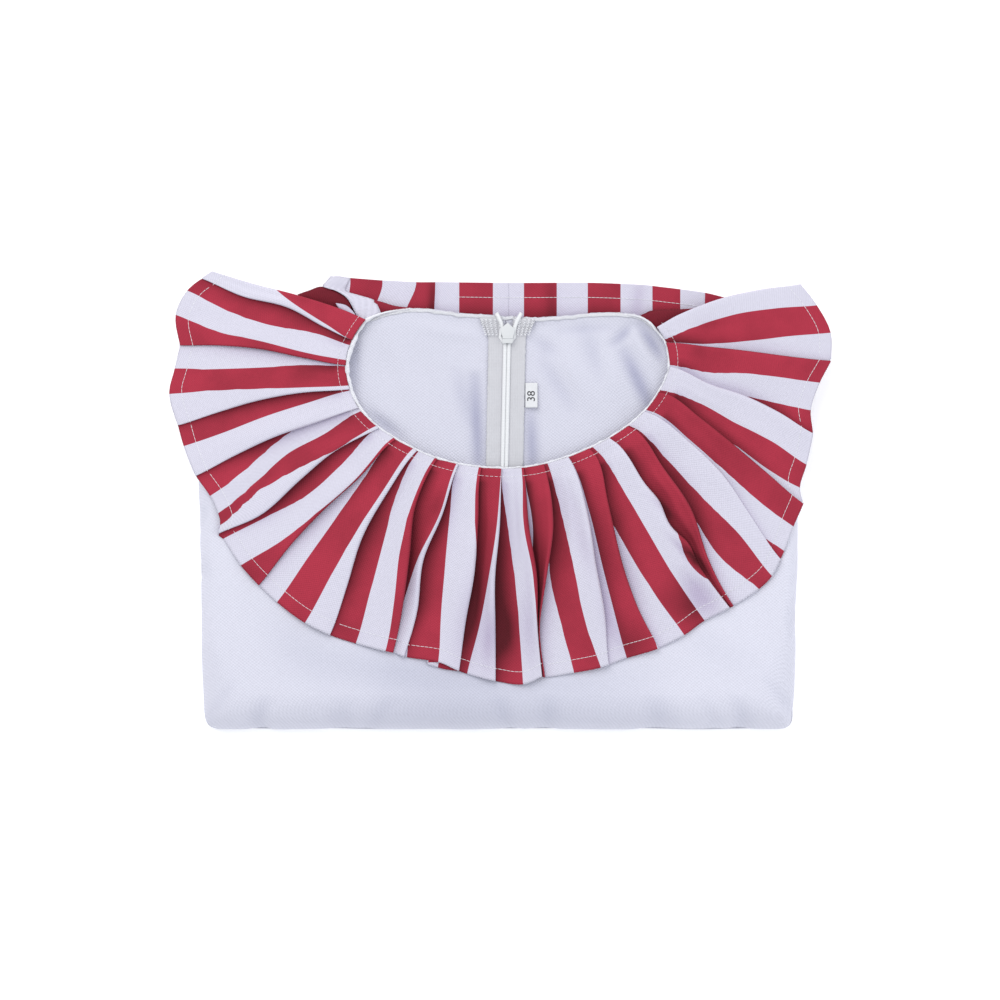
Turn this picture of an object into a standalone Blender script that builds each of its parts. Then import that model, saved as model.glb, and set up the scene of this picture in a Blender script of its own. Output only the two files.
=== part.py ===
"""A clown costume folded into a pack, lying face up on a surface.

White twill front and backs, a red and white pleated ruffle round the low neck, and a zip at
centre back seen from its inner side through the neck hole. Metres, +Z up, X across the
shoulders, +Y towards the neck. The origin is under the middle of the whole outline.
"""

import math

import bmesh
import bpy
from mathutils import Vector

MM = 0.001

# ---- cloth and clearances, mm -------------------------------------------------------------
WALL = 1.2  # wall that stands for a panel of twill
GAP = 0.3  # clearance between pieces that touch
RUFFLE_WALL = 1.0

# ---- the pack, mm -------------------------------------------------------------------------
PACK_LEFT = -185.3
PACK_RIGHT = 183.1
PACK_BOTTOM = -143.1
PACK_BACK = 124.0  # back edge, behind the neck
SHOULDER_DROP_Y = 88.0  # where the shoulder slope meets the sides
SIDE_FLARE = 4.5  # the pack is this much wider at the shoulders, on each side
SHOULDER_LEFT_X = -115.0  # where the front panel's shoulder edges start
SHOULDER_RIGHT_X = 145.0
BOTTOM_CORNER = 8.0
SHOULDER_CORNER = 16.0
MIDDLE = (-1.0, -8.0)  # centre that the rings shrink towards

LAYERS_TOP = 22.0
POCKET_TOP = 19.0  # lower behind the neck, where the back ruffle is tucked in
POCKET_Y = 40.0
POCKET_RUN = 18.0
FOLD_DEPTH_SIDE = 9.0  # how far in the side folds start to round over
FOLD_DEPTH_BOTTOM = 24.0
LAYER_COUNT = 3  # folded edges that show below the front panel
LAYER_NOTCH = 1.6
UNDERSIDE_INSET = 4.0

# ---- neck opening, mm ---------------------------------------------------------------------
NECK = (5.0, 82.5)
NECK_HALF_WIDTH = 101.5
NECK_FRONT_DEPTH = 63.8
NECK_BACK_DEPTH = 40.0
NECK_LIFT = 2.7  # the front neck edge rides over the zip
NECK_LIFT_RUN = 34.0
LIFT_MARGIN = 11.0  # the ruffle comes down this much later than the panel under it
PANEL_SETBACK = 1.2  # the panel's edge lies just under the ruffle's

# back neck edge, left to right: x, y
BACK_NECK_EDGE = [
    (-84.0, 112.5),
    (-71.5, 117.5),
    (-57.0, 120.0),
    (-42.0, 119.4),
    (-12.0, 116.3),
    (23.0, 114.4),
    (62.0, 117.2),
    (86.5, 115.6),
    (96.5, 109.5),
]

# ---- front ruffle -------------------------------------------------------------------------
# One row for each pleat's fold line, in order round the neck from the left shoulder.
# Bearings in degrees about NECK: 0 is straight left, 90 straight down, 180 straight right.
FOLD_LINES = [
    # at_neck, midway, at_hem
    (-10.0, -14.6, -16.2),
    (-2.3, -4.2, -3.7),
    (6.6, 6.9, 10.1),
    (14.2, 16.4, 19.0),
    (24.6, 28.6, 29.7),
    (31.6, 37.8, 40.8),
    (41.6, 49.6, 55.9),
    (51.6, 62.0, 67.2),
    (61.8, 67.6, 72.0),
    (74.6, 80.6, 81.0),
    (85.9, 86.4, 87.5),
    (98.6, 97.6, 95.0),
    (109.8, 102.0, 99.5),
    (123.8, 113.2, 108.7),
    (135.2, 120.4, 118.4),
    (146.4, 135.4, 131.6),
    (154.6, 142.4, 136.0),
    (163.7, 153.4, 145.2),
    (171.2, 160.8, 155.7),
    (180.4, 172.6, 168.2),
    (188.8, 184.2, 181.7),
]
RUFFLE_START = (-19.0, -18.4, -18.1)
RUFFLE_END = (196.3, 197.6, 196.0)
# The hem's distance from NECK at bearings round it, mm.
HEM_REACH = [
    # bearing, reach
    (-18.1, 194.5),
    (-13.2, 207.0),
    (-8.6, 211.0),
    (-3.7, 206.5),
    (4.8, 212.7),
    (12.0, 209.5),
    (27.0, 203.5),
    (30.5, 208.0),
    (41.0, 207.4),
    (51.0, 203.8),
    (61.0, 197.0),
    (76.0, 189.5),
    (88.0, 196.0),
    (94.0, 197.8),
    (100.0, 195.0),
    (110.0, 196.3),
    (128.0, 200.0),
    (142.0, 210.2),
    (151.0, 204.0),
    (158.0, 197.5),
    (168.0, 195.3),
    (173.0, 191.5),
    (184.5, 203.6),
    (190.0, 199.0),
    (196.0, 189.5),
]
RUFFLE_STEPS = (0.0, 0.12, 0.3, 0.5, 0.7, 0.85, 1.0)  # shares of the way from neck to hem
LAYER_STEP = 1.3  # one layer of ruffle wall above the next
UNDERLAP = 3.0  # how far each pleat turns back under its fold line
TURN = 1.2  # straight run of cloth either side of a turned-back layer
HEM_LIFT = 1.4  # the folds stand higher towards the hem
OVERHANG_SAG = 0.16  # drop for each mm that the ruffle hangs past the pack's side

# ---- back ruffle, mm ----------------------------------------------------------------------
BACK_RUFFLE_FLOOR = 19.4
BACK_RUFFLE_TUCK_Y = 86.0
BACK_RUFFLE_PARTING_X = 4.8
# hem edge, left to right: x, y
BACK_HEM_LEFT = [(-111.0, 130.0), (-106.0, 139.8), (-94.0, 139.4), (-40.5, 136.9), (4.6, 136.0)]
BACK_HEM_RIGHT = [(5.0, 136.0), (87.5, 135.0), (95.5, 134.8), (141.0, 126.9)]

# ---- zip, mm ------------------------------------------------------------------------------
ZIP_TOP_Y = 113.5
ZIP_HIDDEN_Y = 12.5
ZIP_TOP_X = 4.4  # the zip leans a little across the back
ZIP_FOOT_X = 2.3
RAIL_RADIUS = 1.2
RAIL_SPACING = 2.7
TAPE_INNER = 3.1  # tape's inner edge from the zip's middle
TAPE_OUTER = 12.9
TAPE_WALL = 1.0
TAPE_FLARE = 4.5  # turned-out top ends
TAPE_FLARE_LENGTH = 13.0
SLIDER_WIDTH = 9.0
SLIDER_LENGTH = 12.5
SLIDER_WALL = 2.0
SLIDER_Y = 104.1

# ---- size label, mm -----------------------------------------------------------------------
LABEL_WIDTH = 7.5
LABEL_LENGTH = 15.0
LABEL_WALL = 0.8
LABEL_Y = 65.4

BACK_FLOOR = LAYERS_TOP + GAP
BACK_TOP = BACK_FLOOR + WALL
PANEL_FLOOR = BACK_TOP + GAP
PANEL_TOP = PANEL_FLOOR + WALL


# ---- scene helpers ------------------------------------------------------------------------
def clear_scene():
    for obj in list(bpy.data.objects):
        bpy.data.objects.remove(obj, do_unlink=True)


def part_collection():
    collection = bpy.data.collections.new("folded_clown_costume")
    bpy.context.scene.collection.children.link(collection)
    return collection


def finish_of(name, colour, roughness):
    material = bpy.data.materials.new(name)
    material.use_nodes = True
    shader = material.node_tree.nodes["Principled BSDF"]
    shader.inputs["Base Color"].default_value = (*colour, 1.0)
    shader.inputs["Roughness"].default_value = roughness
    shader.inputs["Metallic"].default_value = 0.0
    return material


def place(name, mesh, collection, material):
    obj = bpy.data.objects.new(name, mesh)
    collection.objects.link(obj)
    mesh.materials.append(material)
    return obj


def mesh_of(name, points, faces):
    """A mesh from points in mm, with its faces turned outwards."""
    sheet = bmesh.new()
    corners = [sheet.verts.new(Vector(point) * MM) for point in points]
    for face in faces:
        sheet.faces.new([corners[index] for index in face])
    bmesh.ops.recalc_face_normals(sheet, faces=sheet.faces)
    mesh = bpy.data.meshes.new(name)
    sheet.to_mesh(mesh)
    sheet.free()
    return mesh


def thicken(obj, wall, offset):
    solid = obj.modifiers.new("wall", "SOLIDIFY")
    solid.thickness = wall * MM
    solid.offset = offset
    solid.use_even_offset = True
    return solid


# ---- shape helpers ------------------------------------------------------------------------
def smooth(low, high, value):
    """0 below low, 1 above high, and a soft S between."""
    share = min(max((value - low) / (high - low), 0.0), 1.0)
    return share * share * (3.0 - 2.0 * share)


def mix(a, b, share):
    return a + (b - a) * share


def rounded_path(corners, radii, steps, spacing):
    """An open path through corners in mm, with arcs at its inner corners."""
    path = []
    for index, corner in enumerate(corners):
        here = Vector(corner)
        if radii[index] == 0.0:
            pieces = [here]
        else:
            into = (here - Vector(corners[index - 1])).normalized()
            out = (Vector(corners[index + 1]) - here).normalized()
            half = into.angle(out) / 2.0
            cut = radii[index] * math.tan(half)
            first = here - into * cut
            last = here + out * cut
            bulge = radii[index] / math.cos(half)
            centre = here + (out - into).normalized() * bulge
            pieces = []
            for step in range(steps + 1):
                arm = (first - centre).slerp(last - centre, step / steps)
                pieces.append(centre + arm.normalized() * radii[index])
        if path:
            run = pieces[0] - path[-1]
            count = max(1, round(run.length / spacing))
            start = path[-1]
            path += [start + run * (step / count) for step in range(1, count)]
        path += pieces
    return path


def pack_corners():
    """The pack's outline from the left shoulder, round the bottom, to the right shoulder."""
    slope_left = (PACK_LEFT - SIDE_FLARE, SHOULDER_DROP_Y)
    slope_right = (PACK_RIGHT + SIDE_FLARE, SHOULDER_DROP_Y)
    return [
        (SHOULDER_LEFT_X, shoulder_y(SHOULDER_LEFT_X)),
        slope_left,
        (PACK_LEFT, PACK_BOTTOM),
        (PACK_RIGHT, PACK_BOTTOM),
        slope_right,
        (SHOULDER_RIGHT_X, shoulder_y(SHOULDER_RIGHT_X)),
    ]


def shoulder_y(x):
    """Height of the shoulder slope at x, from the neck's corners out to the sides."""
    if x < NECK[0]:
        share = (x - (PACK_LEFT - SIDE_FLARE)) / (-84.0 - (PACK_LEFT - SIDE_FLARE))
    else:
        share = ((PACK_RIGHT + SIDE_FLARE) - x) / ((PACK_RIGHT + SIDE_FLARE) - 96.5)
    return mix(SHOULDER_DROP_Y, PACK_BACK, min(share, 1.0))


def pack_path():
    radii = [0.0, SHOULDER_CORNER, BOTTOM_CORNER, BOTTOM_CORNER, SHOULDER_CORNER, 0.0]
    return rounded_path(pack_corners(), radii, 4, 26.0)


def shrink(point, side, bottom):
    """An outline point moved in towards MIDDLE, by side mm at the sides and bottom mm at the bottom."""
    half_width = (PACK_RIGHT - PACK_LEFT) / 2.0
    half_length = MIDDLE[1] - PACK_BOTTOM
    x = mix(point[0], MIDDLE[0], side / half_width)
    y = mix(point[1], MIDDLE[1], bottom / half_length)
    return x, y


def fold_in(point):
    """How far in the fold starts to round over: deep along the bottom, shallow elsewhere."""
    return mix(FOLD_DEPTH_BOTTOM, FOLD_DEPTH_SIDE, smooth(PACK_BOTTOM + 4.0, PACK_BOTTOM + 60.0, point[1]))


def panel_foot(point):
    """How far above the floor the front panel's edge is tucked: low along the bottom fold."""
    return mix(2.4, 11.0, smooth(PACK_BOTTOM + 4.0, PACK_BOTTOM + 60.0, point[1]))


def neck_radius(bearing, setback=0.0):
    """Distance from NECK to the front neck edge along a bearing."""
    angle = math.radians(bearing)
    depth = NECK_FRONT_DEPTH if math.sin(angle) > 0.0 else NECK_BACK_DEPTH
    across = math.cos(angle) / (NECK_HALF_WIDTH + setback)
    down = math.sin(angle) / (depth + setback)
    return 1.0 / math.hypot(across, down)


def at_bearing(bearing, radius):
    angle = math.radians(bearing)
    return NECK[0] - radius * math.cos(angle), NECK[1] - radius * math.sin(angle)


def neck_lift(distance):
    return NECK_LIFT * (1.0 - smooth(4.0, NECK_LIFT_RUN, distance))


# ---- folded layers ------------------------------------------------------------------------
def folded_layers(collection, material):
    """Everything folded away behind the front: one rounded solid with layered edges."""
    outline = pack_path()
    first = outline[0]
    last = outline[-1]
    count = 10
    for step in range(1, count):
        x = mix(last.x, first.x, step / count)
        outline.append(Vector((x, min(PACK_BACK - 1.0, shoulder_y(x) - 0.5))))
    points = []
    rings = []

    def ring(level):
        row = []
        for point in outline:
            row.append(len(points))
            points.append(level(point))
        rings.append(row)

    def flat_underside(point):
        x, y = shrink(point, UNDERSIDE_INSET + 1.5, UNDERSIDE_INSET + 1.5)
        return x, y, 0.0

    ring(flat_underside)
    for layer in range(LAYER_COUNT):
        for share, inset in ((0.12, LAYER_NOTCH), (0.5, 0.0), (0.88, LAYER_NOTCH)):

            def folded_edge(point, layer=layer, share=share, inset=inset):
                foot = panel_foot(point) - GAP
                height = foot * (layer + share) / LAYER_COUNT
                rounding = UNDERSIDE_INSET * (1.0 - height / foot) ** 2
                x, y = shrink(point, inset + rounding, inset + rounding)
                return x, y, height

            ring(folded_edge)
    for turn in (0.0, 0.25, 0.5, 0.75, 1.0):

        def inside_fold(point, turn=turn):
            foot = panel_foot(point) - GAP
            top = rim_top(point)
            rise = math.sin(turn * math.pi / 2.0)
            inset = WALL + GAP + 0.5 + fold_in(point) * (1.0 - math.cos(turn * math.pi / 2.0))
            x, y = shrink(point, inset, inset)
            return x, y, mix(foot, top, rise)

        ring(inside_fold)
    for share in (0.8, 0.6, 0.4, 0.2):

        def plateau(point, share=share):
            inset = WALL + GAP + 0.5 + fold_in(point)
            edge_x, edge_y = shrink(point, inset, inset)
            x = mix(MIDDLE[0], edge_x, share)
            y = mix(MIDDLE[1], edge_y, share)
            return x, y, layers_height(y)

        ring(plateau)

    faces = []
    size = len(outline)
    for lower, upper in zip(rings, rings[1:]):
        for index in range(size):
            after = (index + 1) % size
            faces.append((lower[index], lower[after], upper[after], upper[index]))
    faces.append(tuple(rings[0]))
    crown = len(points)
    points.append((*MIDDLE, layers_height(MIDDLE[1])))
    for index in range(size):
        faces.append((rings[-1][index], rings[-1][(index + 1) % size], crown))
    mesh = mesh_of("folded_layers", points, faces)
    return place("folded_layers", mesh, collection, material)


def layers_height(y):
    return mix(LAYERS_TOP, POCKET_TOP, smooth(POCKET_Y, POCKET_Y + POCKET_RUN, y))


def rim_top(point):
    inset = WALL + GAP + 0.5 + fold_in(point)
    return layers_height(shrink(point, inset, inset)[1])


# ---- front panel --------------------------------------------------------------------------
def front_panel(collection, material):
    """The white front: from the neck edge out over the pack, rolled round its folds."""
    outline = pack_path()
    runs = [0.0]
    for before, after in zip(outline, outline[1:]):
        runs.append(runs[-1] + (after - before).length)
    points = []
    faces = []
    columns = []
    first_bearing = RUFFLE_START[0] + 1.0
    last_bearing = RUFFLE_END[0] - 1.0
    for run, edge in zip(runs, outline):
        bearing = mix(first_bearing, last_bearing, run / runs[-1])
        depth = fold_in(edge)
        rim = shrink(edge, depth, depth)
        start = at_bearing(bearing, neck_radius(bearing, PANEL_SETBACK))
        column = []
        length = math.dist(start, rim)
        for distance in (0.0, 7.0, 13.0, 19.0, 25.0, 34.0, max(length * 0.6, 36.0), length):
            x = mix(start[0], rim[0], distance / length)
            y = mix(start[1], rim[1], distance / length)
            column.append((x, y, PANEL_TOP + neck_lift(distance)))
        foot = panel_foot(edge)
        for turn in (0.2, 0.4, 0.6, 0.8, 1.0):
            angle = turn * math.pi / 2.0
            x, y = shrink(edge, depth * (1.0 - math.sin(angle)), depth * (1.0 - math.sin(angle)))
            column.append((x, y, mix(foot, PANEL_TOP, math.cos(angle))))
        columns.append(range(len(points), len(points) + len(column)))
        points += column
    for left, right in zip(columns, columns[1:]):
        for index in range(len(left) - 1):
            faces.append((left[index], left[index + 1], right[index + 1], right[index]))
    panel = place("front_panel", mesh_of("front_panel", points, faces), collection, material)
    face_up(panel)
    thicken(panel, WALL, -1.0)
    return panel


def face_up(obj):
    """Turns an open sheet so that its outer side is the upper one."""
    if sum(face.normal.z * face.area for face in obj.data.polygons) < 0.0:
        obj.data.flip_normals()


# ---- back panels --------------------------------------------------------------------------
def zip_x(y):
    return mix(ZIP_FOOT_X, ZIP_TOP_X, (y - ZIP_HIDDEN_Y) / (ZIP_TOP_Y - ZIP_HIDDEN_Y))


def flat_sheet(name, outline, floor, wall, collection, material):
    """A flat piece of cloth cut to an outline, its lower side at floor."""
    points = [(x, y, floor) for x, y in outline]
    mesh = mesh_of(name, points, [tuple(range(len(points)))])
    sheet = place(name, mesh, collection, material)
    face_up(sheet)
    thicken(sheet, wall, 1.0)
    return sheet


def back_panels(collection, material):
    """The two backs, inner side up, under the front and meeting at the zip."""
    edge_in = FOLD_DEPTH_BOTTOM + 4.0
    low = PACK_BOTTOM + FOLD_DEPTH_BOTTOM + 4.0
    high = SHOULDER_DROP_Y - 14.0
    left = [(PACK_LEFT + edge_in, low)]
    left.append((zip_x(low) - GAP / 2, low))
    left.append((zip_x(115.5) - GAP / 2, 115.5))
    left += [point for point in reversed(BACK_NECK_EDGE) if point[0] < 0.0]
    left.append((SHOULDER_LEFT_X + 6.0, shoulder_y(SHOULDER_LEFT_X) - 16.0))
    left.append((PACK_LEFT + edge_in, high))
    flat_sheet("back_panel_left", left, BACK_FLOOR, WALL, collection, material)
    right = [(PACK_RIGHT - edge_in, low)]
    right.append((PACK_RIGHT - edge_in, high))
    right.append((SHOULDER_RIGHT_X - 6.0, shoulder_y(SHOULDER_RIGHT_X) - 16.0))
    right += [point for point in reversed(BACK_NECK_EDGE) if point[0] > 10.0]
    right.append((zip_x(115.5) + GAP / 2, 115.5))
    right.append((zip_x(low) + GAP / 2, low))
    flat_sheet("back_panel_right", right, BACK_FLOOR, WALL, collection, material)


# ---- ruffle -------------------------------------------------------------------------------
def hem_reach(bearing):
    """The hem's distance from NECK, straight between the rows of HEM_REACH."""
    for before, after in zip(HEM_REACH, HEM_REACH[1:]):
        if bearing <= after[0]:
            return mix(before[1], after[1], (bearing - before[0]) / (after[0] - before[0]))
    return HEM_REACH[-1][1]


def along(row, share):
    """A fold line's bearing and distance from NECK, this share of the way to the hem."""
    neck, midway, hem = row
    bearing = neck * (1 - share) * (1 - 2 * share) + midway * 4 * share * (1 - share)
    bearing += hem * share * (2 * share - 1)
    radius = mix(neck_radius(neck), hem_reach(hem), share)
    return bearing, radius


def ruffle_floor(bearing, radius):
    """Middle of the lowest layer of ruffle wall: on the panel, and sagging past its sides."""
    x, y = at_bearing(bearing, radius)
    distance = max(radius - neck_radius(bearing) - LIFT_MARGIN, 0.0)
    past = max(PACK_LEFT - SIDE_FLARE / 2 - x, x - PACK_RIGHT - SIDE_FLARE / 2, 0.0)
    height = PANEL_TOP + neck_lift(distance) + GAP + RUFFLE_WALL / 2.0
    return height - past * OVERHANG_SAG


def ruffle_section(share):
    """The ruffle's middle line round the neck: (run, height, radius), run in mm at that radius."""
    line = [(*along(RUFFLE_START, share), 1, 0.0)]
    before = RUFFLE_START
    for row in FOLD_LINES:
        between = [(a + b) / 2 for a, b in zip(before, row)]
        line.append((*along(between, share), 1 + share * share, 0.0))
        bearing, radius = along(row, share)
        line.append((bearing, radius, 2, -UNDERLAP - TURN))
        line.append((bearing, radius, 2, 0.0))
        line.append((bearing, radius, 1, 0.0))
        line.append((bearing, radius, 1, -UNDERLAP))
        line.append((bearing, radius, 0, -UNDERLAP))
        line.append((bearing, radius, 0, TURN))
        before = row
    between = [(a + b) / 2 for a, b in zip(before, RUFFLE_END)]
    line.append((*along(between, share), 1 + share * share, 0.0))
    line.append((*along(RUFFLE_END, share), 1, 0.0))
    section = []
    for bearing, radius, layer, shift in line:
        run = math.radians(bearing) * radius + shift
        lift = HEM_LIFT * share * layer / 2.0
        height = ruffle_floor(bearing, radius) + layer * LAYER_STEP + lift
        section.append((run, height, radius))
    return section


def walls_of(section, wall):
    """Upper and lower points of a wall round a section's middle line, with square corners."""
    upper = []
    lower = []
    last = len(section) - 1
    for index, (run, height, radius) in enumerate(section):
        before = section[max(index - 1, 0)]
        after = section[min(index + 1, last)]
        arrive = Vector((run - before[0], height - before[1]))
        leave = Vector((after[0] - run, after[1] - height))
        arrive = arrive.normalized() if index else leave.normalized()
        leave = leave.normalized() if index < last else arrive
        tangent = (arrive + leave).normalized()
        normal = Vector((-tangent.y, tangent.x))
        across = Vector((-arrive.y, arrive.x))
        reach = wall / 2.0 / max(normal.dot(across), 0.5)
        for side, points in ((reach, upper), (-reach, lower)):
            spot_run = run + normal.x * side
            spot_height = height + normal.y * side
            x, y = at_bearing(math.degrees(spot_run / radius), radius)
            points.append((x, y, spot_height))
    return upper, lower


def ruffle_front(collection, material):
    """The pleated ruffle from shoulder to shoulder, each pleat turned back under the last."""
    points = []
    loops = []
    for share in RUFFLE_STEPS:
        upper, lower = walls_of(ruffle_section(share), RUFFLE_WALL)
        loops.append(range(len(points), len(points) + 2 * len(upper)))
        points += upper + lower[::-1]
    faces = []
    size = len(loops[0])
    for inner, outer in zip(loops, loops[1:]):
        for index in range(size):
            after = (index + 1) % size
            faces.append((inner[index], inner[after], outer[after], outer[index]))
    for loop in (loops[0], loops[-1]):
        for index in range(size // 2 - 1):
            opposite = size - 1 - index
            faces.append((loop[index], loop[index + 1], loop[opposite - 1], loop[opposite]))
    mesh = mesh_of("ruffle_front", points, faces)
    return place("ruffle_front", mesh, collection, material)


def ruffle_backs(collection, material):
    """The ruffle behind the neck: tucked under the backs, its hem standing out past the neck edge."""
    left = list(BACK_HEM_LEFT)
    left.append((BACK_RUFFLE_PARTING_X - GAP / 2, BACK_RUFFLE_TUCK_Y))
    left.append((-96.0, BACK_RUFFLE_TUCK_Y))
    left.append((-104.0, 112.0))
    flat_sheet("ruffle_back_left", left, BACK_RUFFLE_FLOOR, WALL, collection, material)
    right = list(BACK_HEM_RIGHT)
    right.append((134.0, 104.0))
    right.append((110.0, BACK_RUFFLE_TUCK_Y))
    right.append((BACK_RUFFLE_PARTING_X + GAP / 2, BACK_RUFFLE_TUCK_Y))
    flat_sheet("ruffle_back_right", right, BACK_RUFFLE_FLOOR, WALL, collection, material)


# ---- zip ----------------------------------------------------------------------------------
def zip_tape(name, side, collection, material):
    """One zip tape on the back's inner side; side is -1 for left and 1 for right."""
    shoulder = ZIP_TOP_Y - TAPE_FLARE_LENGTH
    outline = [
        (zip_x(ZIP_HIDDEN_Y) + side * TAPE_INNER, ZIP_HIDDEN_Y),
        (zip_x(ZIP_HIDDEN_Y) + side * TAPE_OUTER, ZIP_HIDDEN_Y),
        (zip_x(shoulder) + side * TAPE_OUTER, shoulder),
        (zip_x(ZIP_TOP_Y) + side * (TAPE_OUTER + TAPE_FLARE), ZIP_TOP_Y),
        (zip_x(ZIP_TOP_Y) + side * (TAPE_INNER + TAPE_FLARE), ZIP_TOP_Y),
        (zip_x(shoulder) + side * (TAPE_INNER + 1.8), shoulder),
        (zip_x(shoulder - 6.0) + side * TAPE_INNER, shoulder - 6.0),
    ]
    return flat_sheet(name, outline, BACK_TOP + GAP, TAPE_WALL, collection, material)


def zip_rail(name, side, collection, material):
    """One row of coil, a slim rod between the tapes."""
    curve = bpy.data.curves.new(name, "CURVE")
    curve.dimensions = "3D"
    curve.bevel_depth = RAIL_RADIUS * MM
    curve.bevel_resolution = 2
    curve.use_fill_caps = True
    spline = curve.splines.new("POLY")
    spline.points.add(1)
    height = BACK_TOP + GAP + RAIL_RADIUS
    for point, y in zip(spline.points, (ZIP_TOP_Y - 4.0, ZIP_HIDDEN_Y)):
        x = zip_x(y) + side * RAIL_SPACING / 2.0
        point.co = (x * MM, y * MM, height * MM, 1.0)
    return place(name, curve, collection, material)


def zip_slider(collection, material):
    """The slider's inner plate, shield shaped, its point towards the neck edge."""
    half = SLIDER_WIDTH / 2.0
    long = SLIDER_LENGTH / 2.0
    right = [(half * 0.45, long * 0.72), (half, long * 0.35), (half * 0.86, -long * 0.7), (half * 0.5, -long)]
    shield = [(0.0, long)] + right + [(-x, y) for x, y in reversed(right)]
    middle = zip_x(SLIDER_Y)
    outline = [(middle + x, SLIDER_Y + y) for x, y in shield]
    floor = BACK_TOP + GAP + 2.0 * RAIL_RADIUS + GAP
    return flat_sheet("zip_slider", outline, floor, SLIDER_WALL, collection, material)


def size_label(collection, material):
    """A small woven size tab beside the right tape."""
    low = LABEL_Y - LABEL_LENGTH / 2.0
    high = LABEL_Y + LABEL_LENGTH / 2.0
    left = zip_x(LABEL_Y) + TAPE_OUTER + 2.0 * GAP
    right = left + LABEL_WIDTH
    outline = [(left, low), (right, low), (right, high), (left, high)]
    return flat_sheet("size_label", outline, BACK_TOP + GAP, LABEL_WALL, collection, material)


def build():
    clear_scene()
    collection = part_collection()
    white_twill = finish_of("white_twill", (0.74, 0.75, 0.84), 0.75)
    striped_twill = finish_of("striped_twill", (0.46, 0.03, 0.07), 0.7)
    tape = finish_of("zip_tape", (0.70, 0.70, 0.72), 0.8)
    coil = finish_of("zip_coil", (0.78, 0.78, 0.76), 0.4)
    label = finish_of("woven_label", (0.86, 0.87, 0.88), 0.6)
    folded_layers(collection, white_twill)
    front_panel(collection, white_twill)
    back_panels(collection, white_twill)
    ruffle_front(collection, striped_twill)
    ruffle_backs(collection, striped_twill)
    for side, word in ((-1, "left"), (1, "right")):
        zip_tape(f"zip_tape_{word}", side, collection, tape)
        zip_rail(f"zip_rail_{word}", side, collection, coil)
    zip_slider(collection, coil)
    size_label(collection, label)


build()
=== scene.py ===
"""The finished look of a clown costume folded into a pack and laid face up.

White twill, a red and white striped ruffle collar fanned over the front, and the zip and size
label on the inner side of the back. Lengths in the tables are millimetres, bearings are degrees
about the neck's middle: 0 straight left, 90 straight down, 180 straight right.
"""

import math

import bmesh
import bpy
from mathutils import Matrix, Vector, noise


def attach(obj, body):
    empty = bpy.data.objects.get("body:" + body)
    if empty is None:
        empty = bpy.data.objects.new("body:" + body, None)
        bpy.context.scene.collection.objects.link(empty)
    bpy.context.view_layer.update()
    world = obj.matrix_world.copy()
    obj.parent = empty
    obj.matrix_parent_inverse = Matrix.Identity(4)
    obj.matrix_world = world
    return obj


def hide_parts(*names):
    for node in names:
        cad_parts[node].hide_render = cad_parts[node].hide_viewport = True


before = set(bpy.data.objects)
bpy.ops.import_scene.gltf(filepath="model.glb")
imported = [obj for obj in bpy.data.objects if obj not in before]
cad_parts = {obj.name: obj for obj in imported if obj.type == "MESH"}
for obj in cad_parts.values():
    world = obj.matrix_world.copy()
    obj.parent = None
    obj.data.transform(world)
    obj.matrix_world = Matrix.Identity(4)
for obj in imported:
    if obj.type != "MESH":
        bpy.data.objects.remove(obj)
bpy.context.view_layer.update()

# ---- Table and light ----------------------------------------------------------------------
# The pack lies on a plain white table and is seen from straight above.
# Three soft panels light it, the strongest from the shoulder end and a little to the left.
VIEW_WIDTH = 0.625
VIEW_HEIGHT = 2.4
VIEW_MIDDLE = -0.0003
CLOTH_LEVEL = 0.028
SENSOR = 36.0
TABLE_WIDTH = 6.0
TABLE_WHITE = (1.0, 1.0, 1.0, 1.0)
LIGHTS = [
    # name, place, width, watts, colour
    ("shoulder_light", (-0.6, 1.08, 1.35), 1.4, 18.0, (1.0, 0.985, 0.965)),
    ("fill_light", (1.3, 0.2, 1.0), 1.4, 6.2, (0.97, 0.98, 1.0)),
    ("low_light", (-0.1, -1.5, 0.9), 1.2, 2.2, (0.90, 0.94, 1.0)),
]


def add_object(name, data):
    made = bpy.data.objects.new(name, data)
    bpy.context.scene.collection.objects.link(made)
    return made


camera_data = bpy.data.cameras.new("overhead_camera")
camera_data.sensor_width = SENSOR
camera_data.lens = SENSOR * (VIEW_HEIGHT - CLOTH_LEVEL) / VIEW_WIDTH
camera = add_object("overhead_camera", camera_data)
camera.location = (VIEW_MIDDLE, 0.0, VIEW_HEIGHT)
bpy.context.scene.camera = camera
bpy.context.scene.view_settings.view_transform = "Standard"

bpy.ops.mesh.primitive_plane_add(size=TABLE_WIDTH, location=(0.0, 0.0, 0.0))
table = bpy.context.object
table.name = "table"
table_paint = bpy.data.materials.new("table_paint")
table_paint.use_nodes = True
table_look = table_paint.node_tree.nodes["Principled BSDF"].inputs
table_look["Base Color"].default_value = TABLE_WHITE
table_look["Roughness"].default_value = 0.9
table_look["Emission Color"].default_value = TABLE_WHITE
table_look["Emission Strength"].default_value = 0.2
table.data.materials.append(table_paint)

for name, place, width, watts, colour in LIGHTS:
    lamp = bpy.data.lights.new(name, "AREA")
    lamp.size = width
    lamp.energy = watts
    lamp.color = colour
    panel = add_object(name, lamp)
    panel.location = place
    panel.rotation_euler = (-Vector(place)).to_track_quat("-Z", "Y").to_euler()
room = bpy.data.worlds.new("room")
room.use_nodes = True
room.node_tree.nodes["Background"].inputs["Color"].default_value = (0.92, 0.95, 1.0, 1.0)
room.node_tree.nodes["Background"].inputs["Strength"].default_value = 0.80
bpy.context.scene.world = room


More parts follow.
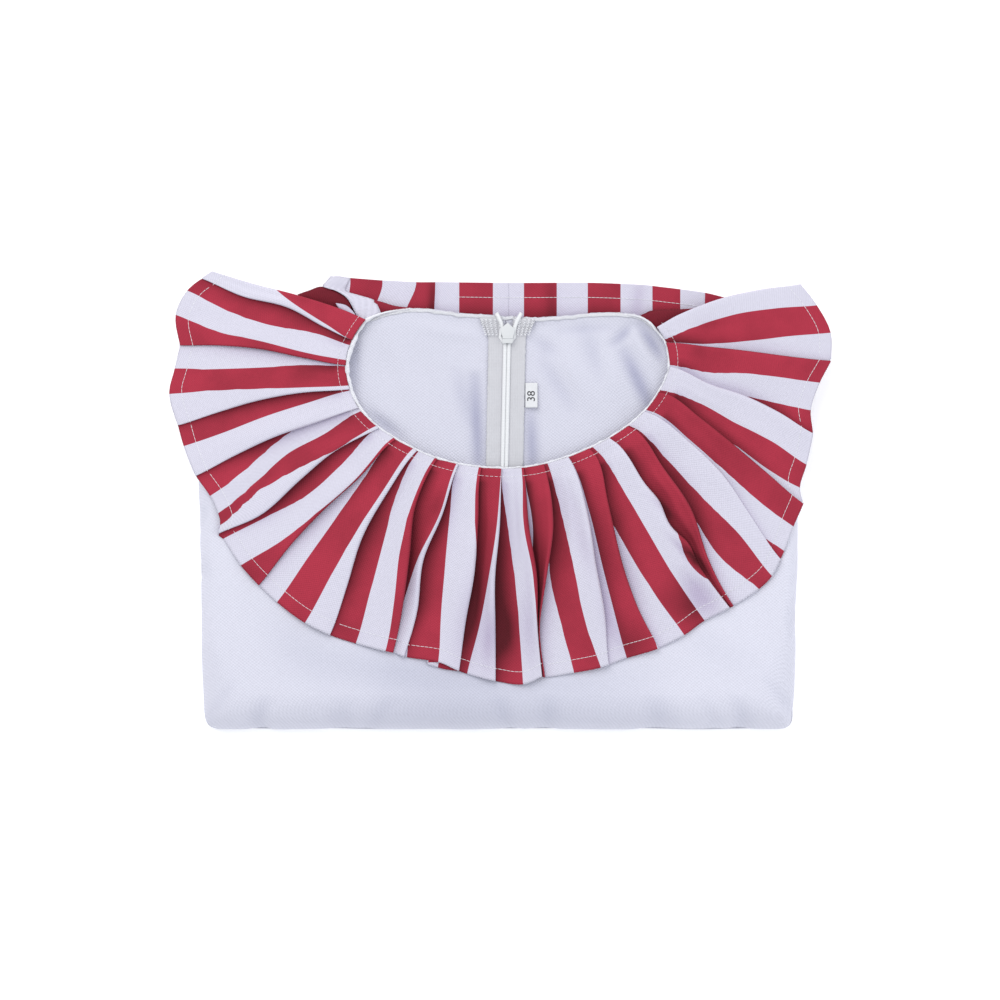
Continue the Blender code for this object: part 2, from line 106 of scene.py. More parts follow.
# ---- Folded layers ------------------------------------------------------------------------
# The sleeves, legs and lower backs, folded flat behind the front in rounded leaves of cloth.
# White polyester and cotton twill, about 0.4 mm thick, with a fine diagonal line.
MM = 0.001
PACK_LEFT = -187.2
PACK_RIGHT = 184.9
PACK_BOTTOM = -145.0
PACK_BACK = 124.0
PACK_MIDDLE = (-1.0, -8.0)
SHOULDER_DROP_Y = 88.0
SIDE_FLARE = 4.5
SHOULDER_LEFT_X = -115.0
SHOULDER_RIGHT_X = 145.0
SHOULDER_TOP_LEFT_X = -84.0
SHOULDER_TOP_RIGHT_X = 96.5
FOLD_DEPTH_SIDE = 9.0
FOLD_DEPTH_BOTTOM = 24.0
FOOT_SIDE = 11.0
FOOT_BOTTOM = 2.4
PANEL_WALL = 1.2
GAP = 0.3
LEAF_SPACING = 5.0
LEAF_CLEARANCE = 1.6
LEAF_FOOT_SLACK = 3.0
LEAF_TOPS = [3.3, 6.4, 9.8, 12.7, 16.1, 19.0, 22.0]
LEAF_SLIP = [0.0, 1.1, 0.3, 1.6, 0.5, 1.2, 0.2]
LEAF_PARTING = 0.12
LEAF_BACK = PACK_BACK - 0.8
LEAF_BACK_STEPS = 52
LEAF_CORNER = 4.0
POCKET_TOP = 19.0
LEAF_EDGE = [
    # share of the leaf's height, mm in from its widest
    (0.0, 60.0),
    (0.0, 1.5),
    (0.14, 0.55),
    (0.36, 0.1),
    (0.62, 0.1),
    (0.86, 0.55),
    (1.0, 1.5),
    (1.0, 60.0),
]
TWILL_PITCH = 0.0015
CLOTH_WHITE = (0.652, 0.648, 0.728)
# The tone the white darkens to where shade is painted in folds, creases and hollows.
CLOTH_PAINTED_SHADE = (0.455, 0.462, 0.560)
FULL_TURN = 2.0 * math.pi


class Wire:
    """One socket of a shader; sums on it are written as ordinary Python."""

    def __init__(self, tree, socket):
        self.tree = tree
        self.socket = socket

    def maths(self, operation, *values):
        made = self.tree.nodes.new("ShaderNodeMath")
        made.operation = operation
        for socket, value in zip(made.inputs, values):
            feed(self.tree, socket, value)
        return Wire(self.tree, made.outputs[0])

    def sine(self):
        return self.maths("SINE", self)

    def wave(self, pitch):
        """A sine from -1 to 1 that repeats every pitch metres."""
        return (self * (FULL_TURN / pitch)).sine()

    def __add__(self, other):
        return self.maths("ADD", self, other)

    def __sub__(self, other):
        return self.maths("SUBTRACT", self, other)

    def __rsub__(self, other):
        return self.maths("SUBTRACT", other, self)

    def __mul__(self, other):
        return self.maths("MULTIPLY", self, other)

    __radd__ = __add__
    __rmul__ = __mul__


def feed(tree, socket, value):
    """Links a Wire to a socket, or sets a plain value on it."""
    if isinstance(value, Wire):
        tree.links.new(value.socket, socket)
    else:
        socket.default_value = value


class Finish:
    """A new material. node adds any node, and the methods below it those that are used most."""

    def __init__(self, name):
        self.material = bpy.data.materials.new(name)
        self.material.use_nodes = True
        self.tree = self.material.node_tree
        self.shader = self.tree.nodes["Principled BSDF"]

    def node(self, kind, settings, values, out=0):
        made = self.tree.nodes.new(kind)
        for key, value in settings.items():
            setattr(made, key, value)
        for key, value in values.items():
            feed(self.tree, made.inputs[key], value)
        return Wire(self.tree, made.outputs[out])

    def place(self, kind="Object"):
        """Object coordinates, or UV where the cloth was cut from a striped length."""
        return self.node("ShaderNodeTexCoord", {}, {}, {"Object": 3, "UV": 2}[kind])

    def axes(self, place):
        parts = self.node("ShaderNodeSeparateXYZ", {}, {"Vector": place})
        return [Wire(self.tree, socket) for socket in parts.socket.node.outputs]

    def cloud(self, place, scale, detail):
        return self.node("ShaderNodeTexNoise", {}, {"Vector": place, "Scale": scale, "Detail": detail})

    def ramp(self, value, low, high):
        """0 below low, 1 above high, and a soft S between."""
        values = {"Value": value, "From Min": low, "From Max": high, "To Min": 0.0, "To Max": 1.0}
        return self.node("ShaderNodeMapRange", {"interpolation_type": "SMOOTHSTEP"}, values)

    def blend(self, share, first, second, kind="MIX"):
        """A mix of two colours, all of second where share is 1."""
        first, second = (colour if isinstance(colour, Wire) else (*colour, 1.0)
                         for colour in (first, second))
        settings = {"data_type": "RGBA", "blend_type": kind}
        return self.node("ShaderNodeMix", settings, {0: share, 6: first, 7: second}, 2)

    def tucked(self, tone, deep):
        """The tone, darkened towards the deep tone by the shade painted on each point of the mesh."""
        return self.blend(self.node("ShaderNodeAttribute", {"attribute_name": "painted_shade"}, {}, 2), tone, deep)

    def bump(self, height, strength, distance):
        values = {"Strength": strength, "Distance": distance, "Height": height}
        return self.node("ShaderNodeBump", {}, values)

    def set(self, **sockets):
        for key, value in sockets.items():
            feed(self.tree, self.shader.inputs[key.replace("_", " ")], value)


def twill_height(finish, place, pitch):
    """Diagonal ribs broken into short raised floats, as a height from 0 to 1."""
    across, along, upright = finish.axes(place)
    across, along = across + upright, along - upright
    turn = FULL_TURN / pitch
    rib = (across * (turn * 0.62) + along * (turn * 0.80)).sine()
    float_end = (across * (turn * 0.62) - along * (turn * 0.72)).sine()
    return rib * 0.27 + float_end * 0.23 + 0.5


def twill_finish(name, place_kind, pitch, contrast, colour_of):
    """Matt twill, in the colour that colour_of gives for a place on it, painted shade and highlights
    included.
    """
    finish = Finish(name)
    place = finish.place(place_kind)
    weave = twill_height(finish, place, pitch)
    slub = finish.cloud(place, 420.0, 2.0)
    shade = weave * contrast + finish.cloud(place, 9.0, 3.0) * 0.06
    shade = shade + slub * (0.6 * contrast) + (0.97 - 0.8 * contrast)
    tint = finish.node("ShaderNodeCombineColor", {}, {"Red": shade, "Green": shade, "Blue": shade})
    finish.set(Base_Color=finish.blend(1.0, colour_of(finish, place), tint, "MULTIPLY"),
               Roughness=slub * 0.1 + 0.68, Normal=finish.bump(weave * 0.75 + slub * 0.25, 0.6, 0.0004),
               Sheen_Weight=0.04, Sheen_Roughness=0.5, Specular_IOR_Level=0.14)
    return finish.material


def white_finish(name, pitch, contrast, white, hollow_and_painted_shade):
    # The cloth's own white, darkened towards the last colour where shade is painted.
    return twill_finish(name, "Object", pitch, contrast, lambda finish, place: finish.tucked(white, hollow_and_painted_shade))


white_twill = white_finish("white_twill_cloth", TWILL_PITCH, 0.11, CLOTH_WHITE, CLOTH_PAINTED_SHADE)


def smooth(low, high, value):
    """0 below low, 1 above high, and a soft S between."""
    share = min(max((value - low) / (high - low), 0.0), 1.0)
    return share * share * (3.0 - 2.0 * share)


def mix(a, b, share):
    return a + (b - a) * share


def drift(x, y, z):
    """Soft unevenness, from about -1 to 1."""
    return noise.noise(Vector((x, y, z)))


def plain_mesh(made):
    """The mesh that an object's modifiers, or its text, make of it."""
    graph = bpy.context.evaluated_depsgraph_get()
    return bpy.data.meshes.new_from_object(made.evaluated_get(graph))


def soften(mesh):
    mesh.polygons.foreach_set("use_smooth", [True] * len(mesh.polygons))


def fit(piece, node=None):
    """Joins a finished piece to the costume, in place of the plain solid called node."""
    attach(piece, "root")
    if node:
        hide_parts(node)
    return piece


def turn_outwards(mesh, up):
    """Points a closed mesh's faces outwards, or an open one's upwards."""
    sheet = bmesh.new()
    sheet.from_mesh(mesh)
    bmesh.ops.recalc_face_normals(sheet, faces=sheet.faces)
    if up and sum(face.normal.z * face.calc_area() for face in sheet.faces) < 0.0:
        bmesh.ops.reverse_faces(sheet, faces=sheet.faces)
    sheet.to_mesh(mesh)
    sheet.free()


def work_in(piece, kind, **settings):
    """Works a modifier into a piece's mesh."""
    modifier = piece.modifiers.new(kind.lower(), kind)
    for key, value in settings.items():
        setattr(modifier, key, value)
    plain, made = piece.data, plain_mesh(piece)
    piece.modifiers.clear()
    piece.data = made
    bpy.data.meshes.remove(plain)
    soften(made)


def make_piece(name, node, slot, material, points, faces, painted_shades=None, uvs=None,
               wall=None, offset=0.0, rounding=None):
    """A new piece from points in mm: a closed one, or a sheet with a wall in mm.

    The painted shades say how much shade is painted on each point, from 0 to 1. uvs holds a pair, in metres
    of flat cloth, for each point. rounding softens the edges, by mm.
    """
    mesh = bpy.data.meshes.new(name)
    mesh.from_pydata([(x * MM, y * MM, z * MM) for x, y, z in points], [], faces)
    if uvs:
        layer = mesh.uv_layers.new(name="cloth")
        for loop in mesh.loops:
            layer.data[loop.index].uv = uvs[loop.vertex_index]
    if painted_shades:
        mesh.attributes.new("painted_shade", "FLOAT", "POINT").data.foreach_set("value", painted_shades)
    soften(mesh)
    mesh.materials.append(material)
    turn_outwards(mesh, up=wall is not None)
    piece = add_object(name, mesh)
    if wall:
        work_in(piece, "SOLIDIFY", thickness=wall * MM, offset=offset)
    if rounding:
        work_in(piece, "BEVEL", width=rounding * MM, segments=4)
    return fit(piece, node)


def grid_faces(rows, columns, closed=False, first=0):
    """Quads of a grid whose points run along each row in turn, from the point numbered first."""
    faces = []
    for row in range(rows - 1):
        for column in range(columns if closed else columns - 1):
            a = first + row * columns + column
            b = first + row * columns + (column + 1) % columns
            faces.append((a, b, b + columns, a + columns))
    return faces


def shoulder_y(x):
    """Height of the shoulder slope at x."""
    if x < 5.0:
        share = (x - (PACK_LEFT - SIDE_FLARE)) / (SHOULDER_TOP_LEFT_X - (PACK_LEFT - SIDE_FLARE))
    else:
        share = ((PACK_RIGHT + SIDE_FLARE) - x) / ((PACK_RIGHT + SIDE_FLARE) - SHOULDER_TOP_RIGHT_X)
    return mix(SHOULDER_DROP_Y, PACK_BACK, min(share, 1.0))


def run_to(path, end, spacing):
    """Carries a path straight on to its next point."""
    start = path[-1]
    count = max(1, round((end - start).length / spacing))
    path += [start.lerp(end, step / count) for step in range(1, count + 1)]


def pack_outline(spacing):
    """The pack's edge from the left shoulder, round the bottom, to the right shoulder."""
    corners = [
        # x, y, corner radius
        (SHOULDER_LEFT_X, shoulder_y(SHOULDER_LEFT_X), 0.0),
        (PACK_LEFT - SIDE_FLARE, SHOULDER_DROP_Y, 16.0),
        (PACK_LEFT, PACK_BOTTOM, 8.0),
        (PACK_RIGHT, PACK_BOTTOM, 8.0),
        (PACK_RIGHT + SIDE_FLARE, SHOULDER_DROP_Y, 16.0),
        (SHOULDER_RIGHT_X, shoulder_y(SHOULDER_RIGHT_X), 0.0),
    ]
    path = [Vector(corners[0][:2])]
    for before, corner, after in zip(corners, corners[1:], corners[2:]):
        here = Vector(corner[:2])
        into = (here - Vector(before[:2])).normalized()
        out = (Vector(after[:2]) - here).normalized()
        cut = corner[2] * math.tan(into.angle(out) / 2.0)
        start, end = here - into * cut, here + out * cut
        run_to(path, start, spacing)
        for step in range(1, 7):
            share = step / 6.0
            path.append(start.lerp(here, share).lerp(here.lerp(end, share), share))
    run_to(path, Vector(corners[-1][:2]), spacing)
    return path


def shrink(point, inset):
    """An edge point moved in towards the pack's middle by inset mm."""
    half_width = (PACK_RIGHT - PACK_LEFT) / 2.0
    half_length = PACK_MIDDLE[1] - PACK_BOTTOM
    x = mix(point[0], PACK_MIDDLE[0], inset / half_width)
    y = mix(point[1], PACK_MIDDLE[1], inset / half_length)
    return x, y


def up_the_side(y, at_bottom, at_side):
    """A size that changes from the pack's bottom edge to its sides."""
    return mix(at_bottom, at_side, smooth(PACK_BOTTOM + 4.0, PACK_BOTTOM + 60.0, y))


def fold_in(y):
    """How far in the front starts to round over its folds."""
    return up_the_side(y, FOLD_DEPTH_BOTTOM, FOLD_DEPTH_SIDE)


def panel_foot(y):
    """How far above the table the front's edge is tucked in."""
    return up_the_side(y, FOOT_BOTTOM, FOOT_SIDE)


def leaf_limit(y, height):
    """How far in the leaves must stay at a height, to clear the front's rounded fold."""
    foot = panel_foot(y) - GAP
    if height <= foot:
        return LEAF_FOOT_SLACK * (1.0 - height / foot) ** 2
    rise = min((height - foot) / (LEAF_TOPS[-1] - foot), 1.0)
    rounding = fold_in(y) * (1.0 - math.sqrt(max(1.0 - rise * rise, 0.0)))
    return PANEL_WALL + GAP + LEAF_CLEARANCE + rounding


def leaf_outline():
    """The pack's edge, closed behind the neck by a line that runs softly into the shoulders."""
    outline = pack_outline(LEAF_SPACING)
    last, first = outline[-1], outline[0]
    for step in range(1, LEAF_BACK_STEPS):
        x = mix(last.x, first.x, step / LEAF_BACK_STEPS)
        drop = math.log(1.0 + math.exp((LEAF_BACK - shoulder_y(x)) / LEAF_CORNER))
        outline.append(Vector((x, LEAF_BACK - LEAF_CORNER * drop)))
    return outline


def pocket_top(y, height):
    """Leaves dip behind the neck, where the back of the collar is tucked in."""
    return height * mix(1.0, POCKET_TOP / LEAF_TOPS[-1], smooth(40.0, 58.0, y))


def folded_leaves():
    """Seven rounded leaves, each slipped a little from the one below."""
    outline = leaf_outline()
    size = len(outline)
    points = []
    faces = []
    for leaf, (bottom, top, slip) in enumerate(zip([0.0] + LEAF_TOPS, LEAF_TOPS, LEAF_SLIP)):
        low = bottom + (LEAF_PARTING if leaf else 0.0)
        high = top - LEAF_PARTING
        first = len(points)
        for share, pull in LEAF_EDGE:
            height = mix(low, high, share)
            for edge in outline:
                wobble = 0.9 * drift(edge.x * 0.02, edge.y * 0.02, leaf * 7.3)
                inset = leaf_limit(edge.y, height) + pull + slip * 0.6 + max(0.0, 0.5 + wobble)
                x, y = shrink(edge, inset)
                sag = 0.35 * drift(edge.x * 0.013, edge.y * 0.013, leaf * 3.1 + 9.0)
                lift = 0.0 if leaf == 0 and share == 0.0 else sag * smooth(0.0, 3.0, height)
                points.append((x, y, pocket_top(y, min(max(height + lift, bottom if leaf else 0.0), top))))
        faces += grid_faces(len(LEAF_EDGE), size, closed=True, first=first)
        for ring, height in ((first, low), (len(points) - size, high)):
            faces += [(ring + index, ring + (index + 1) % size, len(points)) for index in range(size)]
            points.append((*PACK_MIDDLE, height))
    leaves = make_piece("folded_leaves", "folded_layers", "white_twill", white_twill, points, faces)


folded_leaves()


# ---- Front panel --------------------------------------------------------------------------
# The costume's white front, one piece of twill from the neck seam down over the pack.
# Its sides and lower edge are rolled round the folded leaves and tucked in, with no stitches.
NECK = (5.0, 82.5)
NECK_HALF_WIDTH = 101.5
NECK_FRONT_DEPTH = 63.8
NECK_BACK_DEPTH = 40.0
NECK_SIDE_DEPTH = 64.0
NECK_LIFT = 2.7
NECK_LIFT_RUN = 34.0
NECK_SETBACK = 1.2
FRONT_TOP = 25.0
FRONT_SPACING = 3.0
FRONT_BEARINGS = (-18.0, 195.3)
FRONT_STEPS = 30
ROLL_STEPS = 14
ROLL_CLEARANCE = 0.35
ROLL_END = 26.0
ROLL_END_DROP = 4.0
DEEPEST_PAINTED_SHADE = 0.6
TURNED_UNDER_PAINTED_SHADE = 0.2
CLOTH_WALL = 0.5
TURNED_UNDER = [
    # mm in from the rolled edge, mm down
    (0.55, 0.175),
    (1.3, 0.21),
    (2.2, 0.125),
]
FRONT_CREASES = [
    # start x, start y, end x, end y, half width, rise
    (-152, -66, -96, -118, 15, -0.9),
    (-118, -92, -62, -104, 9, 0.7),
    (-70, -108, -24, -122, 12, -0.6),
    (-20, -119, 48, -116, 9, 0.5),
    (62, -101, 128, -118, 14, -0.7),
    (110, -72, 166, -100, 13, 0.6),
    (150, -40, 176, -112, 11, -0.6),
    (-178, -30, -160, -96, 10, 0.6),
    (-60, -130, 70, -133, 7, -0.5),
]
# Broad soft patches of painted shade on the front, mostly over its lower middle.
FRONT_PAINTED_SHADE_PATCHES = [
    # start x, start y, end x, end y, half width, how deep the painted shade is
    (-124, -96, -10, -116, 25, 0.40),
    (-62, -112, 84, -116, 22, 0.46),
    (-150, -70, -110, -112, 15, 0.14),
    (118, -82, 150, -104, 12, 0.10),
]
ROLL_CREASES = [
    # mm along the pack's edge from the left shoulder, half width, depth, lean on the way down
    (96, 8, 1.2, 7),
    (128, 5, -0.6, -4),
    (171, 9, 1.3, 8),
    (214, 6, 1.2, -5),
    (262, 11, -0.7, 6),
    (300, 6, 1.5, 9),
    (327, 6, 2.1, 17),
    (345, 5, -0.7, 12),
    (384, 9, 1.5, 12),
    (417, 6, 1.2, -7),
    (468, 12, -0.7, 5),
    (494, 5, 1.4, 8),
    (531, 7, 1.9, -9),
    (566, 5, -0.7, 4),
    (607, 9, 1.7, -14),
    (640, 5, 0.9, -10),
    (664, 6, 2.1, -18),
    (693, 6, 1.3, -8),
    (741, 10, 1.2, 7),
    (786, 6, -0.6, -6),
    (823, 8, 1.3, 8),
    (868, 5, 0.9, -4),
]


def neck_radius(bearing, setback=0.0, behind=NECK_BACK_DEPTH):
    """Distance from the neck's middle to its front edge along a bearing."""
    angle = math.radians(bearing)
    depth = NECK_FRONT_DEPTH if math.sin(angle) > 0.0 else behind
    across = math.cos(angle) / (NECK_HALF_WIDTH + setback)
    down = math.sin(angle) / (depth + setback)
    return 1.0 / math.hypot(across, down)


def at_bearing(bearing, radius):
    angle = math.radians(bearing)
    return NECK[0] - radius * math.cos(angle), NECK[1] - radius * math.sin(angle)


def neck_lift(distance):
    """The front's neck edge rides over the zip and the seam."""
    return NECK_LIFT * (1.0 - smooth(4.0, NECK_LIFT_RUN, distance))


def crease_height(creases, x, y):
    """Sum of soft troughs and ridges, each fading along its length."""
    total = 0.0
    for start_x, start_y, end_x, end_y, half_width, rise in creases:
        run = Vector((end_x - start_x, end_y - start_y))
        arm = Vector((x - start_x, y - start_y))
        share = min(max(arm.dot(run) / run.length_squared, 0.0), 1.0)
        away = (arm - run * share).length / half_width
        if away < 2.2:
            total += rise * math.exp(-away * away * 1.6) * (0.45 + 0.55 * math.sin(math.pi * share))
    return total


def front_wave(x, y):
    """How far the front stands above its level."""
    return crease_height(FRONT_CREASES, x, y) + 0.5 * drift(x * 0.018, y * 0.018, 4.0) - 0.2


# Painted shade on the front at a place, never past the deepest.
def front_painted_shade(x, y):
    return min(crease_height(FRONT_PAINTED_SHADE_PATCHES, x, y), DEEPEST_PAINTED_SHADE)


def roll_dip(run, share):
    """How far the rolled edge is pressed in, at a run along it and a share of the way down."""
    dip = 0.0
    for start, half_width, depth, lean in ROLL_CREASES:
        away = (run - start - lean * share) / half_width
        if abs(away) < 2.2:
            dip += depth * math.exp(-away * away) * math.sin(math.pi * min(share * 0.72 + 0.06, 1.0))
    return dip


def front_panel():
    outline = pack_outline(FRONT_SPACING)
    runs = [0.0]
    for before, after in zip(outline, outline[1:]):
        runs.append(runs[-1] + (after - before).length)
    points, painted_shades = [], []
    for run, edge in zip(runs, outline):
        bearing = mix(*FRONT_BEARINGS, run / runs[-1])
        depth = fold_in(edge.y)
        rim = shrink(edge, depth)
        start = at_bearing(bearing, neck_radius(bearing, NECK_SETBACK, NECK_SIDE_DEPTH))
        length = math.dist(start, rim)
        for step in range(FRONT_STEPS + 1):
            share = step / FRONT_STEPS
            x, y = mix(start[0], rim[0], share), mix(start[1], rim[1], share)
            height = front_wave(x, y) * smooth(6.0, 40.0, length * share)
            points.append((x, y, FRONT_TOP + neck_lift(length * share) + height))
            painted_shades.append(front_painted_shade(x, y))
        near_end = smooth(ROLL_END, 0.0, min(run, runs[-1] - run))
        foot = mix(panel_foot(edge.y), FRONT_TOP - ROLL_END_DROP, near_end)
        wave, tone = front_wave(*rim), front_painted_shade(*rim)
        for step in range(1, ROLL_STEPS + 1):
            angle = step / ROLL_STEPS * math.pi / 2.0
            over, down = math.cos(angle), math.sin(angle)
            swell = 0.5 * drift(edge.x * 0.03, edge.y * 0.03, step * 0.12)
            dip = roll_dip(run, step / ROLL_STEPS) * (1.0 - near_end)
            pressed = max(swell * down + dip, -0.3)
            x, y = shrink(edge, depth * (1.0 - down) + ROLL_CLEARANCE + pressed)
            points.append((x, y, mix(foot, FRONT_TOP + wave * over, over)))
            # Over the roll the painted shade fades, and a little more is painted in its pressed-in creases.
            painted_shades.append(tone * over + max(dip, 0.0) * 0.14)
        for inset, drop in TURNED_UNDER:
            points.append((*shrink(edge, inset + ROLL_CLEARANCE), foot - drop))
            # The cloth turned under is painted in shade.
            painted_shades.append(TURNED_UNDER_PAINTED_SHADE)
    columns = FRONT_STEPS + 1 + ROLL_STEPS + len(TURNED_UNDER)
    front = make_piece("front_panel_cloth", "front_panel", "white_twill", white_twill, points,
                       grid_faces(len(outline), columns), painted_shades, wall=CLOTH_WALL, offset=-1.0)


front_panel()


# ---- Back panels --------------------------------------------------------------------------
# The two white backs seen from inside through the neck hole, one each side of the zip.
# They lie under the front; their neck edge is overlocked and a little frayed.
BACK_TOP = 23.5
BACK_LOW_Y = -115.0
BACK_LEFT_X = -157.0
BACK_RIGHT_X = 155.0
BACK_STEPS = 83
HIDDEN_SHARE = 0.14
BACK_SEEN_HALF_WIDTH = 101.0
BACK_SEEN_HALF_DEPTH = 64.0
ZIP_SLIT = 0.15
ZIP_MIDDLE_Y = 60.0
ZIP_HIDDEN_Y = 12.5
ZIP_TOP_Y = 113.5
ZIP_TOP_X = 4.4
ZIP_FOOT_X = 2.3
BACK_NECK_EDGE = [
    # x, y
    (-157, 78), (-130, 90), (-114, 98), (-104, 104.5), (-95, 109.5), (-84, 113.4), (-71.5, 117.5),
    (-57, 120), (-42, 119.4), (-25, 117), (-12, 116.3), (4, 115.2), (23, 114.4), (42, 115.6),
    (62, 117.4), (76, 117.2), (86.5, 115.6), (93.8, 111.2), (97.6, 107), (108, 101.5), (126, 97),
    (155, 84),
]
BACK_CREASES = [
    # start x, start y, end x, end y, half width, rise
    (83, 108, 93, 87, 4.5, 1.2),
    (87.5, 108, 101, 90, 5, -2.3),
    (82, 109, 71, 98, 4, -1.7),
    (78, 92, 95, 56, 5.5, -2.6),
    (66, 90, 76, 60, 6, 0.9),
    (52, 106, 64, 78, 7, -0.7),
    (26, 88, 44, 58, 6, -0.7),
    (40, 92, 56, 60, 6, 0.8),
    (-16, 76, -13.5, 14, 5, -2.4),
    (-27, 78, -20, 50, 6, -0.8),
    (19, 54, 20.5, 14, 5, -2.2),
    (22, 100, 34, 92, 5, -0.7),
    (-93, 108, -95, 58, 6, -2),
    (-84, 54, -64, 40, 6, -1.4),
    (-70, 104, -52, 60, 9, 0.8),
    (-50, 108, -12, 102, 5, 0.6),
    (36, 106, 72, 108, 4, -0.6),
]
# The backs' white is a darker copy of the front's white, painted shade for the inside of the neck hole; the
# second tone is the painted shade in their creases.
INSIDE_SHADED_WHITE = (0.592, 0.590, 0.668)
INSIDE_PAINTED_SHADE = (0.350, 0.352, 0.470)


def zip_x(y):
    return mix(ZIP_FOOT_X, ZIP_TOP_X, (y - ZIP_HIDDEN_Y) / (ZIP_TOP_Y - ZIP_HIDDEN_Y))


def between_rows(rows, x):
    """The y of an edge given by x, y rows, smoothly between them."""
    index = next((number for number in range(len(rows) - 2) if x <= rows[number + 1][0]), len(rows) - 2)
    before, after = rows[max(index - 1, 0)], rows[min(index + 2, len(rows) - 1)]
    (start_x, start), (end_x, end) = rows[index], rows[index + 1]
    span = end_x - start_x
    share = (x - start_x) / span
    leave = (end - before[1]) / (end_x - before[0])
    reach = (after[1] - start) / (after[0] - start_x)
    cube, square = share ** 3, share ** 2
    value = (2 * cube - 3 * square + 1) * start + (3 * square - 2 * cube) * end
    return value + span * ((cube - 2 * square + share) * leave + (cube - square) * reach)


shaded_inner_twill = white_finish("white_twill_inside_shaded", TWILL_PITCH, 0.10, INSIDE_SHADED_WHITE, INSIDE_PAINTED_SHADE)


def back_panel(name, node, outer_x):
    """One back, from the zip out to outer_x."""
    points, painted_shades = [], []
    inner = zip_x(ZIP_MIDDLE_Y) + math.copysign(ZIP_SLIT, outer_x)
    for column in range(BACK_STEPS + 1):
        x = mix(inner, outer_x, column / BACK_STEPS)
        edge = between_rows(BACK_NECK_EDGE, x)
        for row in range(BACK_STEPS + 1):
            rise = row / BACK_STEPS
            if rise < HIDDEN_SHARE:
                y = mix(BACK_LOW_Y, 0.0, rise / HIDDEN_SHARE)
            else:
                y = mix(0.0, edge, (rise - HIDDEN_SHARE) / (1.0 - HIDDEN_SHARE))
            ease = smooth(10.0, 19.0, abs(x - zip_x(y))) * smooth(0.0, 7.0, edge - y)
            away = math.hypot((x - NECK[0]) / BACK_SEEN_HALF_WIDTH, (y - NECK[1]) / BACK_SEEN_HALF_DEPTH)
            inside = 1.0 - smooth(0.93, 1.02, away)
            creased = crease_height(BACK_CREASES, x, y)
            height = (creased + 0.8 * drift(x * 0.03, y * 0.03, 11.0)) * ease * inside
            # Shade is painted in the troughs of the creases, inside the neck hole only.
            painted_shades.append(min(max(-0.36 * creased * inside, 0.0), 0.85))
            fray = 0.9 * drift(x * 0.45, 3.0, 2.0) * smooth(2.5, 0.0, edge - y)
            bead = 0.7 * smooth(5.0, 3.0, edge - y) * (0.8 + 0.6 * drift(x * 0.4, y * 0.4, 1.0))
            points.append((x, y + fray, BACK_TOP - 0.1 + max(height, -0.9) * 1.4 + bead))
    back = make_piece(name, node, "white_twill", shaded_inner_twill, points,
                      grid_faces(BACK_STEPS + 1, BACK_STEPS + 1), painted_shades, wall=CLOTH_WALL, offset=-1.0)


back_panel("back_left_cloth", "back_panel_left", BACK_LEFT_X)
back_panel("back_right_cloth", "back_panel_right", BACK_RIGHT_X)


# ---- Ruffle over the front ----------------------------------------------------------------
# A strip of red and white striped twill gathered onto the neck and pressed back over the
# front. Its gathers open into folds that lie over each other, left over right; hem 8 mm deep.
STRIPE = 20.0
RUFFLE_WALL = 0.34
RUFFLE_DEPTH = 125.0
NECK_OUTER_DEPTH = 62.0
OVERHANG_START = 2.0
OVERHANG_SAG = 0.16
BASE_CLEARANCE = 0.30
FLAT_STEPS = 13
RUFFLE_ROWS = 51
FOLD_SHORTEST = 0.15
CREST_WIDEST = 2.2
CREST_ANGLES = (65.0, 40.0, 12.0, -18.0, -52.0, -90.0)
STRIPE_RED = (0.345, 0.0265, 0.0495)
STRIPE_WHITE = (0.616, 0.598, 0.686)
# Painted shade: the tones the red and the white darken to deep in folds and hollows.
PAINTED_SHADE_RED = (0.082, 0.0062, 0.011)
PAINTED_SHADE_WHITE = (0.450, 0.395, 0.525)
HOLLOWS_AND_PAINTED_SHADE = [
    # x, y, half width, half length towards the hem, depth of the hollow and of the shade painted in it: 1
    # and over is the full depth
    (4.2, -84, 6, 15, 0.72),
    (1.5, -66, 7, 46, 0.36),
    (-18, -76, 9, 32, 0.60),
    (-7.2, -87, 4.5, 18, 0.72),
    (17.5, -80, 4.5, 22, 0.58),
    (10.5, -10, 1.6, 26, 0.28),
    (17.6, -50, 1.6, 24, 0.30),
    (18, -12, 2.5, 20, 0.50),
    (45, -2, 4.5, 18, 0.25),
    (53, -30, 5.5, 22, 0.36),
    (72, -80, 6, 20, 0.55),
    (86, -89, 11, 12, 0.34),
    (119.5, -67, 10, 14, 0.55),
    (125, -58, 6.5, 15, 0.90),
    (101.5, -5, 2.6, 11, 0.50),
    (118.4, -34.4, 2.9, 14, 1.20),
    (-96, -82, 9, 7, 0.28),
    (-157, -45.5, 7, 6, 0.30),
    (-122, 79.5, 5, 8, 0.22),
    (129.5, 109, 4, 11, 0.20),
    (124, 93.4, 6, 5, 0.28),
    (-40, -4, 4, 12, 0.25),
]
NECK_TRIM = [
    # bearing, mm that the ruffle's neck edge lies inside a plain oval
    (-18, -0.9),
    (-4, -0.4),
    (6, 0.1),
    (14, -0.3),
    (22, 0.4),
    (29.5, 1.3),
    (39, 1.3),
    (50, 0.6),
    (62, 0.6),
    (90, 0.8),
    (105, 1.6),
    (123.5, 3.8),
    (137.6, 5.5),
    (146.7, 6.3),
    (155.8, 6.3),
    (164, 5.6),
    (171.4, 4.4),
    (180, 0.9),
    (189, 0.1),
    (197, -0.9),
]
PEEKS = {
    # flat whose hidden layer shows below its hem: mm tucked back, mm shown
    9: (19.4, 2.9),
}
WAVY_EDGES = {
    # flat whose right fold waves: share of the depth, half length of the wave, degrees
    15: ((0.38, 0.085, 1.15), (0.63, 0.085, 1.3)),
}
